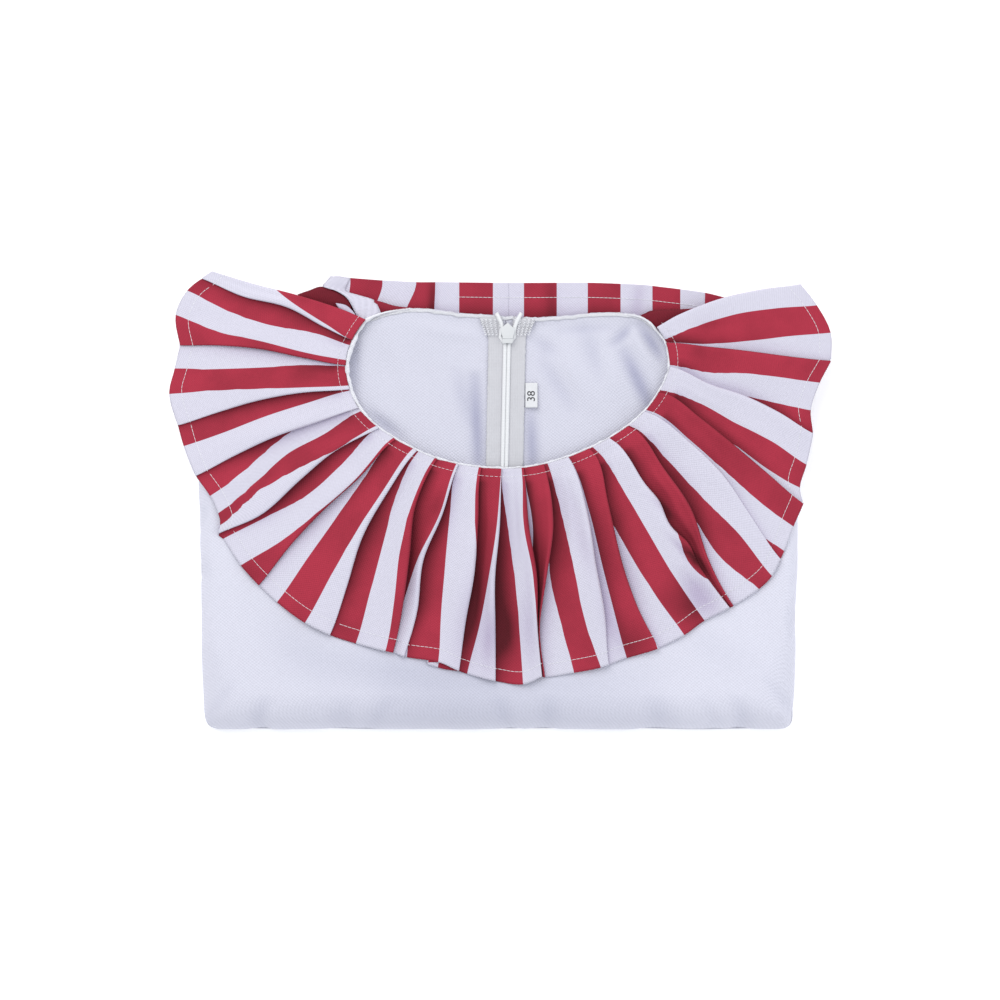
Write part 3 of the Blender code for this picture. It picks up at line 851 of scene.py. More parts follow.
# the strip's left end, written as the folds in FLATS are
RUFFLE_START = (-18.1, -19.4, -19.1, -18.3, -18.1, 195)
FLATS = [
    # rise of the fold that ends the flat, mm: neck, middle, hem
    # that fold: five bearings from the neck to the hem, and mm from the neck's middle to the hem
    # then {cloth mm: a stripe edge on the flat, written as the fold is}
    ((1.9, 3.6, 1.7), (-9.8, -12.5, -15.3, -15.1, -16.3, 200), {
        100: (-9.4, -13.4, -16.8, -19.8, -19.6, 194),
    }),
    ((2.2, 3.8, 1.7), (-1, -2.8, -4.3, -4.5, -4, 206), {
        140: (-7.8, -10.1, -10.1, -11.5, -13.5, 207),
        160: (-2.9, -4.4, -6.2, -7.1, -9.1, 211),
    }),
    ((2.2, 4, 1.9), (7.6, 6.8, 7.3, 8.6, 9.8, 210), {
        200: (-0.6, -0.8, 0, 0.3, 0.1, 209),
        220: (6.2, 5.4, 4.7, 4.3, 4.3, 213),
    }),
    ((2.2, 4.6, 1.9), (14.9, 15.8, 16.4, 17.7, 19, 207), {
        260: (8.1, 9.8, 11.2, 12.7, 13.5, 209),
    }),
    ((2.4, 5.2, 2.5), (24.9, 25.5, 28.2, 30.6, 29.7, 210), {
        300: (13.4, 14.3, 17.6, 21.2, 23.3, 203),
        320: (16.1, 19.6, 21.2, 24.6, 26.7, 203),
        340: (23.6, 25.2, 25.5, 26.1, 28.5, 205),
    }),
    ((2.4, 5, 2.1), (32.3, 36.1, 37.5, 39.1, 41, 207), {
        380: (24.6, 29.6, 32.3, 31.6, 30.9, 208),
        400: (31.2, 35.5, 36.9, 37.3, 36.4, 208),
    }),
    ((2.4, 5.4, 2.2), (42.1, 45.7, 49, 53.4, 56.2, 201), {
        440: (31.5, 37.2, 41, 43.5, 45.3, 206),
        460: (40.2, 44.2, 47, 49.5, 51.4, 204),
    }),
    ((2.4, 6.4, 2.4), (51.9, 55.6, 61.9, 65.9, 67.9, 192), {
        500: (43, 48.5, 54.5, 58.4, 61, 197),
        520: (50.6, 54.2, 59.1, 63.8, 66.5, 193),
    }),
    ((2.6, 7, 2.4), (62.6, 65.6, 66, 69.3, 70.1, 192), {
        580: (61.5, 64.7, 64.6, 65.8, 66.4, 156),
    }),
    ((2.6, 6.8, 2.7), (74.8, 78.7, 80.5, 80.4, 80.7, 192), {
        620: (62.2, 68.1, 72, 74.6, 76.6, 189),
        640: (73.4, 77.4, 81.5, 81.4, 81.7, 192),
    }),
    ((2.6, 7.4, 2.9), (86.1, 86.8, 86.3, 87.1, 87.6, 196), {
        700: (85.9, 85.8, 84.7, 83.6, 82.3, 193),
    }),
    ((2.9, 7.6, 2.9), (98.6, 97.4, 97.8, 96.5, 96.2, 194), {
        740: (86.1, 89.7, 91.8, 92.5, 92.7, 198),
        760: (97.3, 95.5, 96.7, 96.1, 96.1, 194),
    }),
    ((2.9, 8.2, 2.9), (110, 106.6, 100.8, 96.9, 96.7, 195), {
        800: (98.1, 98.9, 96.3, 95, 94.7, 196),
    }),
    ((2.6, 6.6, 2.5), (123.7, 119, 114.3, 111.5, 108.7, 196), {
        840: (108.5, 105.1, 101.5, 101.7, 102.2, 195),
        860: (111.8, 109.8, 108.1, 106.8, 107.1, 196),
    }),
    ((2.6, 5.8, 2.4), (135, 126.8, 121.1, 118.5, 118.2, 199), {
        920: (124, 119.7, 115.9, 113.6, 112.2, 196),
    }),
    ((2.6, 5.2, 2.2), (145.1, 139.8, 135.6, 133.8, 132.7, 204), {
        960: (133.5, 125.3, 123.3, 123, 123.4, 200),
        980: (136.8, 133, 130.2, 128.5, 127.8, 200),
        1000: (146.5, 143, 136.9, 132.6, 136.4, 205),
    }),
    ((2.6, 6.2, 2.4), (153.8, 147.4, 142.6, 136.3, 133.4, 205), {
        1020: (143.6, 138.3, 134.4, 132.6, 131.6, 197),
        1040: (145, 139.2, 135.2, 133.2, 132.3, 204),
    }),
    ((1.7, 2.2, 1.7), (162.1, 157.9, 153.7, 148.6, 144.9, 208), {
        1080: (152.3, 145.9, 142.1, 138.4, 138.7, 209),
        1100: (154.2, 149.6, 146.2, 144.2, 141.6, 210),
    }),
    ((2.2, 3.6, 1.7), (170.7, 165.5, 161.2, 157.8, 155.3, 203), {
        1140: (160.6, 156.4, 152.2, 147.1, 146.5, 207),
        1160: (163, 158.3, 154.7, 152.1, 150.9, 204),
    }),
    ((2.2, 4, 1.9), (180.3, 175.7, 173.4, 170.7, 167.9, 195), {
        1200: (169.2, 164, 161.4, 158.8, 157.7, 197),
        1220: (171.5, 169.3, 166.3, 164.4, 162, 196),
    }),
    ((2.2, 3.6, 1.7), (189.4, 186.2, 184, 182.3, 181.3, 202), {
        1260: (178.8, 174.2, 173.4, 172.6, 172.1, 191),
        1280: (180.7, 178.7, 178.7, 178, 177.3, 195),
    }),
    ((2.2, 3.4, 1.7), (194.5, 197.3, 198.1, 197.3, 196, 190), {
        1320: (189.5, 187.1, 186.5, 186.5, 186.3, 203),
        1340: (189.9, 192.3, 193.3, 192.6, 191.5, 197),
    }),
]


def eased(before, start, end, after, share):
    """A smooth curve from start to end that leaves and arrives in line with its neighbours."""
    bend = 2.0 * before - 5.0 * start + 4.0 * end - after
    turn = 3.0 * start - before - 3.0 * end + after
    return 0.5 * (2.0 * start + (end - before) * share + bend * share ** 2 + turn * share ** 3)


def along_line(line, share):
    """A line's bearing this share of the way from the neck to the hem."""
    place = min(max(share, 0.0), 1.0) * 4.0
    index = min(int(place), 3)
    return eased(line[max(index - 1, 0)], line[index], line[index + 1], line[min(index + 2, 4)],
                 place - index)


def between(nodes, place):
    """Straight between (place, value) rows, and level past the ends."""
    if place <= nodes[0][0]:
        return nodes[0][1]
    for before, after in zip(nodes, nodes[1:]):
        if place <= after[0]:
            return mix(before[1], after[1], (place - before[0]) / (after[0] - before[0]))
    return nodes[-1][1]


def cloth_run(edges, share, bearing, radius):
    """Millimetres of cloth along the strip at a bearing, from the stripe edges on a flat."""
    rows = []
    for run, edge in sorted(edges.items()):
        place = along_line(edge, share)
        rows.append((max(place, rows[-1][0] + FOLD_SHORTEST) if rows else place, run))
    arc = math.radians(radius)
    for end, past in ((rows[0], bearing <= rows[0][0]), (rows[-1], bearing >= rows[-1][0])):
        if past:
            return end[1] + (bearing - end[0]) * arc
    return between(rows, bearing)


def fold_rise(rises, share):
    """A fold's height at the neck, midway and at the hem, smoothly between."""
    neck, middle, hem = rises
    if share < 0.55:
        return mix(neck * (0.75 + 0.25 * smooth(0.03, 0.06, share)), middle, smooth(0.05, 0.42, share))
    return mix(middle, hem, smooth(0.55, 1.0, share))


def ruffle_base(bearing, radius):
    """The level that the lowest layer lies on: the front, then a sag past its sides."""
    x, y = at_bearing(bearing, radius)
    past = max(PACK_LEFT - OVERHANG_START - x, x - PACK_RIGHT - OVERHANG_START, 0.0)
    lift = neck_lift(max(radius - neck_radius(bearing) - 3.0, 0.0))
    return FRONT_TOP + lift + BASE_CLEARANCE + RUFFLE_WALL / 2.0 - past * OVERHANG_SAG


def hollow_and_painted_shade(x, y):
    """Depth, from 0 to 1, of the soft hollows pressed into the flats, which is also painted in them as
    shade.
    """
    arm = Vector((x - NECK[0], y - NECK[1])).normalized()
    total = 0.0
    for middle_x, middle_y, half_width, half_length, depth in HOLLOWS_AND_PAINTED_SHADE:
        away = Vector((x - middle_x, y - middle_y))
        along, across = away.dot(arm) / half_length, away.cross(arm) / half_width
        if abs(along) < 2.2 and abs(across) < 2.2:
            total += depth * math.exp(-along * along - across * across)
    return min(total, 1.0)


def edge_wave(number, share):
    """Degrees that a wavy fold stands to the right of its line."""
    return sum(degrees * math.exp(-((share - middle) / half_length) ** 2)
               for middle, half_length, degrees in WAVY_EDGES.get(number, ()))


class Flat:
    """One flat of the ruffle between the fold on its left and the fold on its right."""

    def __init__(self, number):
        self.rises, self.right, self.edges = FLATS[number]
        self.left = FLATS[number - 1][1] if number else RUFFLE_START
        self.first = number == 0
        self.number = number
        width = self.right[4] - self.left[4]
        reach = {0.0: self.left[5], 1.0: self.right[5]}
        for edge in self.edges.values():
            place = (edge[4] - self.left[4]) / width
            if 0.04 < place < 0.96:
                reach[place] = edge[5]
        self.reach = sorted(reach.items())

    def spot(self, across, row_share):
        """Bearing, radius and share of the depth, at a share across the flat."""
        reach = between_rows(self.reach, across)
        bearing = mix(along_line(self.left, 0.0), along_line(self.right, 0.0), across)
        inner = neck_radius(bearing)
        true_inner = inner
        angle = math.radians(bearing)
        if math.sin(angle) < 0.0:
            true_inner = 1.0 / math.hypot(math.cos(angle) / NECK_HALF_WIDTH,
                                          math.sin(angle) / NECK_OUTER_DEPTH)
        true_inner -= between(NECK_TRIM, bearing)
        share = mix((true_inner - inner) / (reach - inner), 1.0, row_share)
        bearing = mix(along_line(self.left, share) + edge_wave(self.number - 1, share),
                      along_line(self.right, share) + edge_wave(self.number, share), across)
        return bearing, mix(neck_radius(bearing), reach, share), share

    def width(self, row_share):
        start, end = self.spot(0.0, row_share), self.spot(1.0, row_share)
        return math.radians(end[0] - start[0]) * end[1]

    def pleats(self, across, share):
        """Small gathers that start at the neck seam and die out towards the hem."""
        beat = 1.6 + 0.9 * math.sin(self.number * 2.1)
        fine = math.sin(FULL_TURN * (beat * across + 0.31 * self.number + 0.25 * share))
        gathers = math.sin(FULL_TURN * (4.0 * across + 0.17 * self.number))
        gathers *= smooth(0.05, 0.09, share) * smooth(0.3, 0.1, share)
        return fine * smooth(0.04, 0.25, share) + gathers

    def painted_shade(self, across, row_share, share):
        """How much shade is painted on the cloth beside the fold on its left, and in the gathers by the
        neck seam, from 0 to 1.
        """
        if self.first:
            return 0.0
        above = fold_rise(FLATS[self.number - 1][0], share)
        away = across * self.width(row_share) / (2.0 + 0.9 * above)
        depth = min(above / 7.0, 0.78)
        seam = 0.5 * smooth(0.045, 0.07, share) * smooth(0.3, 0.08, share) * smooth(0.55, 0.0, across)
        return min(depth * math.exp(-away * away) + seam, 1.0)

    def open_height(self, across, bearing, radius, share):
        """The height of the open cloth, from the layer below to the fold on the right."""
        rise = fold_rise(self.rises, share)
        swell = 0.9 * drift(math.radians(bearing) * 9.0, radius * 0.022, 5.0) * smooth(0.1, 0.6, share)
        swell += self.pleats(across, share) * rise * 0.09
        swell *= min(across * 3.0, 1.0) * (1.0 - 0.6 * across ** 4)
        slope = mix(across ** 1.5, smooth(0.0, 1.0, across), 0.6)
        return mix(1.4 if self.first else 0.25, rise, slope) + max(swell, -0.1)

    def top(self, across, row_share, shift=0.0, height=None, run_shift=0.0, painted_shade=None, pull=0.0):
        """A point on the flat, moved shift mm to the right, with its cloth run and painted shade."""
        bearing, radius, share = self.spot(across, row_share)
        if height is None:
            height = self.open_height(across, bearing, radius, share)
        run = cloth_run(self.edges, share, bearing, radius) + shift + run_shift
        bearing += math.degrees(shift / radius)
        x, y = at_bearing(bearing, radius - pull * smooth(0.3, 1.0, share))
        # In the soft hollows the cloth is pressed down and painted with more shade; round a crest the
        # painted shade is at least the hollows'.
        if painted_shade is None:
            sunk = hollow_and_painted_shade(x, y)
            height -= min(1.6 * sunk, 0.5 * height) * smooth(0.0, 0.3, across)
            painted_shade = min(self.painted_shade(across, row_share, share) + sunk, 1.0)
        elif shift > 0.0:
            painted_shade = max(painted_shade, hollow_and_painted_shade(x, y))
        return (x, y, ruffle_base(bearing, radius) + height), run, painted_shade


def flat_row(flat, following, row_share):
    """One flat at one share of its depth: its open cloth, its crest and what turns back below."""
    row = []
    width = max(flat.width(row_share), 1.0)
    rise = fold_rise(flat.rises, flat.spot(1.0, row_share)[2])
    crest = min(CREST_WIDEST, (rise - 0.75) / 2.2, 0.3 * width)
    under = min(2.0 + 11.0 * smooth(0.0, 0.8, row_share), 0.42 * width)
    pull = 1.0
    if flat.number in PEEKS:
        back, shown = PEEKS[flat.number]
        under = mix(under, min(back, 0.6 * width), smooth(0.6, 0.95, row_share))
        pull = 1.0 - (1.0 + shown) * smooth(0.5, 1.0, row_share)
    if flat.first:
        row += [flat.top(4.0 / width, row_share, 0.0, 0.3, pull=1.0),
                flat.top(0.8 / width, row_share, 0.0, 0.35), flat.top(0.0, row_share, 0.1, 0.8)]
    last = 1.0 - crest / width
    row += [flat.top(last * (step + 0.35) / (FLAT_STEPS - 0.65), row_share) for step in range(FLAT_STEPS)]
    crown = row[-1][0][2] - ruffle_base(*flat.spot(last, row_share)[:2])
    # Shade is painted on the crest as it turns over and down.
    for angle in CREST_ANGLES:
        turn = math.radians(angle)
        side = crest * math.cos(turn)
        row.append(flat.top(last, row_share, side, crown - crest * (1.0 - math.sin(turn)),
                            crest * (math.pi / 2.0 - turn) - side, 0.5 - 0.5 * math.sin(turn)))
    if not following:
        return row + [flat.top(last - under / width, row_share, 0.0, 0.6, under, 1.0, pull=1.0)]
    leaving, arriving = row[-1][1], following.top(0.0, row_share)[1]
    # The cloth turned back under the fold is painted in full shade, and only lightly where it peeks out
    # below the hem.
    underside_painted_shade = 0.1 if flat.number in PEEKS else 1.0
    for way, back, extra, height, up in (
            # share of the cloth between the flats, share of what turns back, mm more, height, pull
            (0.2, 0.5, 0.0, mix(0.65, crown - 2.0 * crest, 0.55), 1.0),
            (0.4, 1.0, 0.0, 0.65, 0.4 + 0.6 * pull),
            (0.5, 1.0, 0.2, 0.45, pull),
            (0.6, 1.0, 0.0, 0.25, pull),
            (0.85, 0.4, 0.0, 0.25, pull)):
        point = flat.top(last - back * under / width - extra / width, row_share, 0.0, height, pull=up)[0]
        row.append((point, mix(leaving, arriving - 0.5, way), underside_painted_shade))
    return row


def scaled(share, colour):
    """The same colour, darker or lighter."""
    return [share * part for part in colour]


def striped_colour(finish, place):
    """Woven stripes of two colours, 20 mm each, across the strip's length, with painted shade and painted
    highlights.
    """
    across = finish.axes(place)[0]
    wave = across.maths("PINGPONG", across - STRIPE * MM / 2.0, STRIPE * MM)
    red = finish.ramp(wave, (STRIPE / 2.0 + 0.12) * MM, (STRIPE / 2.0 - 0.12) * MM)
    # Patches of lighter and darker red at random; the lighter end, brighter than the dye, is a painted
    # highlight for the fold crests.
    patchy_tone_and_highlight = finish.ramp(finish.cloud(place, 26.0, 4.0), 0.35, 0.7)
    cloth_red = finish.blend(patchy_tone_and_highlight, scaled(1.13, STRIPE_RED), scaled(0.91, STRIPE_RED))
    return finish.blend(red, finish.tucked(STRIPE_WHITE, PAINTED_SHADE_WHITE),
                        finish.tucked(cloth_red, PAINTED_SHADE_RED))


striped_twill = twill_finish("striped_twill_cloth", "UV", TWILL_PITCH * 0.8, 0.17, striped_colour)


def ruffle_front(flats):
    points, painted_shades, uvs = [], [], []
    for step in range(RUFFLE_ROWS + 1):
        # closer together at the neck and at the hem
        row_share = mix(step / RUFFLE_ROWS, smooth(0.0, 1.0, step / RUFFLE_ROWS), 0.35)
        for flat, following in zip(flats, flats[1:] + [None]):
            for spot, run, painted_shade in flat_row(flat, following, row_share):
                points.append(spot)
                painted_shades.append(painted_shade)
                uvs.append((run * MM, row_share * RUFFLE_DEPTH * MM))
    rows = RUFFLE_ROWS + 1
    ruffle = make_piece("ruffle_front_cloth", "ruffle_front", "striped_twill", striped_twill, points,
                        grid_faces(rows, len(points) // rows), painted_shades, uvs, wall=RUFFLE_WALL)


ruffle_flats = [Flat(number) for number in range(len(FLATS))]
ruffle_front(ruffle_flats)


# ---- Ruffle behind the neck ---------------------------------------------------------------
# The two ends of the same strip, laid flat behind the neck with their hem to the back edge.
# At the shoulders the strip turns over itself, and short folds of it show from below.
BACK_RUFFLE_LEVEL = 20.3
BACK_RUFFLE_TUCK_Y = 88.0
BACK_STRIP_COLUMNS = 110
BACK_STRIP_ROWS = 30
BACK_STRIP_SHADE = 0.13
OVERLAP_LIFT = 0.4
RED_RUN = 8.0
WHITE_RUN = 28.0
SMALL_FOLD_STEPS = 7
BACK_HEM = [
    # x, y
    (-112, 133), (-105.6, 139.9), (-94, 139.2), (-74, 137.7), (-52, 136.6), (-40.5, 136.6),
    (4.6, 136.1), (55, 136.2), (88, 135), (96, 134.2), (128, 130), (141, 126.9),
]
BACK_STRIPES = [
    # cloth mm, x at the hem, x at the neck edge
    (20, -128, -134),
    (40, -94, -98),
    (60, -74, -79.5),
    (80, -52.8, -59.5),
    (100, -40.9, -41.5),
    (120, -25.9, -25.9),
    (140, -4.7, -4.7),
    (160, 14.7, 14.7),
    (180, 35.3, 35.3),
    (200, 54.7, 54.7),
    (220, 75.3, 75.3),
    (240, 95.3, 95.3),
    (260, 112.8, 112.8),
    (280, 128.4, 128),
    (300, 141.5, 141),
]
BACK_WAVES = [
    # x, y, run to x, run to y, half width, rise
    (-66, 138, -60, 108, 6, 0.5),
    (-42, 138, -43, 110, 4, -0.5),
    (-16, 138, -14, 112, 7, 0.35),
    (31, 138, 33, 112, 6, -0.3),
    (62, 138, 58, 112, 8, 0.35),
    (88, 137, 84, 112, 5, -0.4),
    (112, 134, 104, 112, 6, 0.4),
]
TURNED_BAND = [
    # left edge x, y, z, right edge x, y, z: the white stripe that turns over at the left shoulder
    (-106.6, 140.2, 22.6, -94.2, 139.4, 21.2),
    (-109, 137, 23.8, -95.6, 135.4, 21.4),
    (-111.2, 133.6, 24.8, -97, 131.2, 21.8),
    (-104.2, 131.4, 26.2, -88.2, 128.3, 22.6),
    (-96.8, 127, 26.9, -79.4, 125.4, 23.4),
    (-93, 121.4, 27.1, -76.6, 121.4, 24),
    (-90.2, 115.6, 26.6, -74.8, 117, 24.2),
    (-87.6, 112.4, 26.3, -74, 115.4, 24.1),
]
SHADED_TURN = [
    # the red stripe below it, seen inside the turn
    (-127, 128.8, 23.6, -126, 127, 23.6),
    (-120, 131.2, 23.8, -118, 123, 23),
    (-112.4, 133.6, 24.2, -108, 118.6, 22.8),
    (-104, 131.6, 24.6, -101, 115.6, 22.9),
    (-96.2, 126.6, 25.2, -96, 114, 23.4),
    (-93.6, 121, 25.6, -93, 113.2, 24),
]
INNER_FOLD = [
    # the pale end of the fold that rises to the neck seam
    (-103, 123.2, 26.1, -101.4, 120, 25.9),
    (-97, 122, 26.6, -96.6, 116, 26.2),
    (-92.6, 118.4, 26.9, -93.6, 112, 26.6),
    (-89, 113, 27.2, -91, 109, 27),
]
NECK_TUCK = [
    # red cloth caught in the seam beside the turned band
    (-79, 125.2, 23.9, -79.6, 120, 22.7),
    (-74, 124, 23.8, -75.4, 117, 22.5),
    (-66, 121.6, 23.4, -69, 115.6, 22.4),
    (-56, 120.4, 22.9, -60, 115, 22.3),
]
RIGHT_UNDERFOLD = [
    # red cloth below the right end of the front ruffle
    (86, 115, 22.6, 92, 106, 22),
    (90.6, 117, 23.2, 96, 105, 22.3),
    (95.4, 118.8, 23.9, 101, 106, 22.8),
    (106, 119.2, 24.2, 111, 107, 23.4),
    (118, 119.8, 24, 120, 111, 23.6),
    (127, 120.6, 23.6, 128, 114, 23.5),
]


def back_wave(x, y):
    return crease_height(BACK_WAVES, x, y) + 0.35 * drift(x * 0.05, y * 0.05, 2.0)


def back_strip(first_x, last_x, level):
    """A stretch of the strip from its hem down to where it is hidden by the backs."""
    points, uvs, painted_shades = [], [], []
    for column in range(BACK_STRIP_COLUMNS):
        x = mix(first_x, last_x, column / (BACK_STRIP_COLUMNS - 1.0))
        hem = between_rows(BACK_HEM, x)
        for row in range(BACK_STRIP_ROWS):
            y = mix(hem, BACK_RUFFLE_TUCK_Y, (row / (BACK_STRIP_ROWS - 1.0)) ** 1.3)
            lean = smooth(136.0, 116.0, y)
            edges = [(mix(at_hem, at_neck, lean), run) for run, at_hem, at_neck in BACK_STRIPES]
            sunk = smooth(118.0, 108.0, y) * 0.5
            sunk += 0.36 * smooth(3.2, 5.4, x) if first_x < 0.0 else 0.0
            points.append((x, y, level + max(back_wave(x, y), -0.5) * smooth(86.0, 112.0, y) - sunk))
            uvs.append((between(edges, x) * MM, (hem - y) * MM))
            shaded = max(crease_height(BACK_WAVES, x, y) * -1.2, 0.0) + 0.35 * smooth(126.0, 115.0, y)
            painted_shades.append(min(BACK_STRIP_SHADE + shaded, 1.0))
    return points, grid_faces(BACK_STRIP_COLUMNS, BACK_STRIP_ROWS), uvs, painted_shades


def through(rows, steps):
    """A smooth run of rows through the given ones, with steps between each pair."""
    fine = []
    for index in range(len(rows) - 1):
        before, after = rows[max(index - 1, 0)], rows[min(index + 2, len(rows) - 1)]
        for step in range(steps if index < len(rows) - 2 else steps + 1):
            fine.append([eased(*values, step / steps)
                         for values in zip(before, rows[index], rows[index + 1], after)])
    return fine


def small_fold(rows, run, painted_shade):
    """A short fold between two edges, full in the middle, in one stripe of the cloth."""
    points, uvs = [], []
    fine = through(rows, 4)
    for index, row in enumerate(fine):
        left, right = Vector(row[:3]), Vector(row[3:])
        for step in range(-2, SMALL_FOLD_STEPS + 1):
            share = max(step, 0) / SMALL_FOLD_STEPS
            spot = left.lerp(right, share)
            spot.z += 0.5 * math.sin(math.pi * min(share * 1.2, 1.0))
            if step < 0:
                # the cloth turns back under its left edge
                spot = left + (right - left) * (0.04 if step == -1 else 0.16) + Vector((0, 0, 0.6 * step))
            points.append(tuple(spot))
            uvs.append(((run + 4.0 * share) * MM, index * 2.5 * MM))
    return points, grid_faces(len(fine), SMALL_FOLD_STEPS + 3), uvs, [painted_shade] * len(points)


def ruffle_back(name, node, parts):
    points, faces, uvs, painted_shades = [], [], [], []
    for part_points, part_faces, part_uvs, part_painted_shades in parts:
        faces += [tuple(len(points) + index for index in face) for face in part_faces]
        points += part_points
        uvs += part_uvs
        painted_shades += part_painted_shades
    ruffle = make_piece(name, node, "striped_twill", striped_twill, points, faces, painted_shades, uvs,
                        wall=RUFFLE_WALL, offset=-1.0)


# The last number of each small fold is the shade painted over all of it.
ruffle_back("ruffle_back_left_cloth", "ruffle_back_left", [
    back_strip(-112.0, 5.4, BACK_RUFFLE_LEVEL + OVERLAP_LIFT),
    small_fold(TURNED_BAND, WHITE_RUN, 0.0),
    small_fold(SHADED_TURN, RED_RUN, 0.75),
    small_fold(INNER_FOLD, WHITE_RUN, 0.5),
    small_fold(NECK_TUCK, RED_RUN, 0.45),
])
ruffle_back("ruffle_back_right_cloth", "ruffle_back_right", [
    back_strip(3.6, 141.0, BACK_RUFFLE_LEVEL),
    small_fold(RIGHT_UNDERFOLD, RED_RUN, 0.7),
])


# ---- Zip ----------------------------------------------------------------------------------
# An invisible zip of white nylon coil on knitted tapes, seen from its inner side and closed.
# Its slider stands at the top, its coils part above it and its tape ends are turned out.
TAPE_LEVEL = 24.3
TAPE_WALL = 0.45
TAPE_INNER = 2.1
TAPE_OUTER = 11.7
TAPE_FLARE = 5.8
TAPE_PARTING = 1.8
TAPE_FLARE_LENGTH = 13.0
TAPE_COLUMNS = 12
TAPE_ROWS = 96
TAPE_GREY = (0.575, 0.572, 0.600)
TAPE_SHADED = (0.250, 0.235, 0.270)
KNIT_RIB = 0.0011
KNIT_LOOP = 0.0009
RAIL_RADIUS = 1.27
RAIL_APART = 1.24
RAIL_LEVEL = 25.0
RAIL_STEP = 1.5
RAIL_STEPS = 58
RAIL_SIDES = 14
RAIL_TOP_LEFT = [(-0.2, 102.0), (0.4, 105.4), (1.2, 108.0), (0.2, 111.4), (-1.6, 115.0), (-2.6, 117.0)]
RAIL_TOP_RIGHT = [(8.6, 102.0), (8.4, 105.4), (9.0, 108.4), (10.4, 112.0), (12.2, 115.4), (13.2, 117.0)]
COIL_TURN = 0.0010
COIL_WHITE = (0.76, 0.765, 0.775)
SLIDER_BODY = [
    # x, y round the shield from its tip
    (4.5, 110.8), (8.5, 107.4), (9, 105.8), (7.9, 101.9), (7.6, 98), (1.4, 97.9), (1.3, 101.8),
    (0, 105.9), (0.6, 107.5),
]
SLIDER_STEP = [(1.1, 101.8), (8.1, 101.8), (7.8, 100.9), (1.4, 100.9)]
SLIDER_LEVELS = (26.3, 28.3)
SLIDER_STEP_LEVELS = (28.1, 28.75)
SLIDER_ROUNDING = 0.55
SLIDER_PALE = (0.64, 0.65, 0.655)
SLIDER_GREY = (0.60, 0.61, 0.62)


def knitted_finish():
    """Narrow warp ribs along the tape with a fine cross thread."""
    finish = Finish("zip_tape_knit")
    place = finish.place()
    across, along, _ = finish.axes(place)
    rib = across.wave(KNIT_RIB)
    loop = (along * (FULL_TURN / KNIT_LOOP) + rib * 0.8).sine()
    patch = finish.cloud(place, 160.0, 3.0)
    height = rib * 0.3 + loop * 0.2 + 0.5
    shade = finish.ramp(height * 0.10 + patch * 0.10 + 0.86, 0.88, 1.02)
    tone = finish.blend(shade, scaled(0.90, TAPE_GREY), TAPE_GREY)
    finish.set(Base_Color=finish.tucked(tone, TAPE_SHADED), Roughness=patch * 0.1 + 0.7,
               Normal=finish.bump(height, 0.5, 0.0003), Sheen_Weight=0.1, Specular_IOR_Level=0.3)
    return finish.material


def coil_finish():
    """Smooth nylon with the coil's closely packed turns across it."""
    finish = Finish("zip_coil_nylon")
    place = finish.place()
    turns = finish.axes(place)[1].wave(COIL_TURN) * 0.5 + 0.5
    worn = finish.cloud(place, 300.0, 2.0)
    tone = finish.blend(turns * 0.7 + worn * 0.3, scaled(0.93, COIL_WHITE), COIL_WHITE)
    finish.set(Base_Color=tone, Roughness=worn * 0.15 + 0.32, Normal=finish.bump(turns, 0.25, 0.0003))
    return finish.material


def slider_finish():
    """Painted die-cast metal, a little rounded and rubbed at its edges."""
    finish = Finish("zip_slider_paint")
    cast = finish.cloud(finish.place(), 500.0, 3.0)
    finish.set(Base_Color=finish.blend(cast, SLIDER_PALE, SLIDER_GREY), Roughness=cast * 0.2 + 0.3,
               Normal=finish.bump(cast, 0.15, 0.0002), Coat_Roughness=0.2, Specular_IOR_Level=0.5)
    return finish.material


zip_knit = knitted_finish()
zip_nylon = coil_finish()
zip_paint = slider_finish()


def zip_tape(name, node, side):
    """One tape from its hidden foot to its flared, frayed top end."""
    points, painted_shades = [], []
    for row in range(TAPE_ROWS):
        up = row / (TAPE_ROWS - 1.0)
        y = mix(ZIP_HIDDEN_Y, ZIP_TOP_Y + 1.5, up)
        flare = smooth(ZIP_TOP_Y - TAPE_FLARE_LENGTH, ZIP_TOP_Y + 3.0, y)
        for column in range(TAPE_COLUMNS):
            share = column / (TAPE_COLUMNS - 1.0)
            inner, outer = TAPE_INNER + flare * TAPE_PARTING, TAPE_OUTER + flare * TAPE_FLARE
            x = zip_x(y) + side * mix(inner, outer, share)
            top_edge = y - 2.6 * flare * share * (1.0 if side > 0 else 0.4)
            ragged = 0.7 * drift(x * 0.9, 1.0, side) * smooth(0.7, 1.0, up)
            edge = 0.35 * drift(y * 0.35, side, 8.0) * share
            wave = 0.18 * drift(x * 0.14, y * 0.07, 3.0)
            crumple = flare * 1.7 * (0.5 + drift(x * 0.42, y * 0.42, side * 2.0))
            rise = 0.35 * smooth(0.25, 0.0, share)
            points.append((x + side * edge, top_edge + ragged, TAPE_LEVEL + wave + crumple + rise))
            # Shade is painted along the tape's inner edge beside the coil, fading out on the flared end.
            painted_shades.append(smooth(0.09, 0.0, share) * (1.0 - flare))
    tape = make_piece(name, node, "zip_tape", zip_knit, points, grid_faces(TAPE_ROWS, TAPE_COLUMNS),
                      painted_shades, wall=TAPE_WALL)


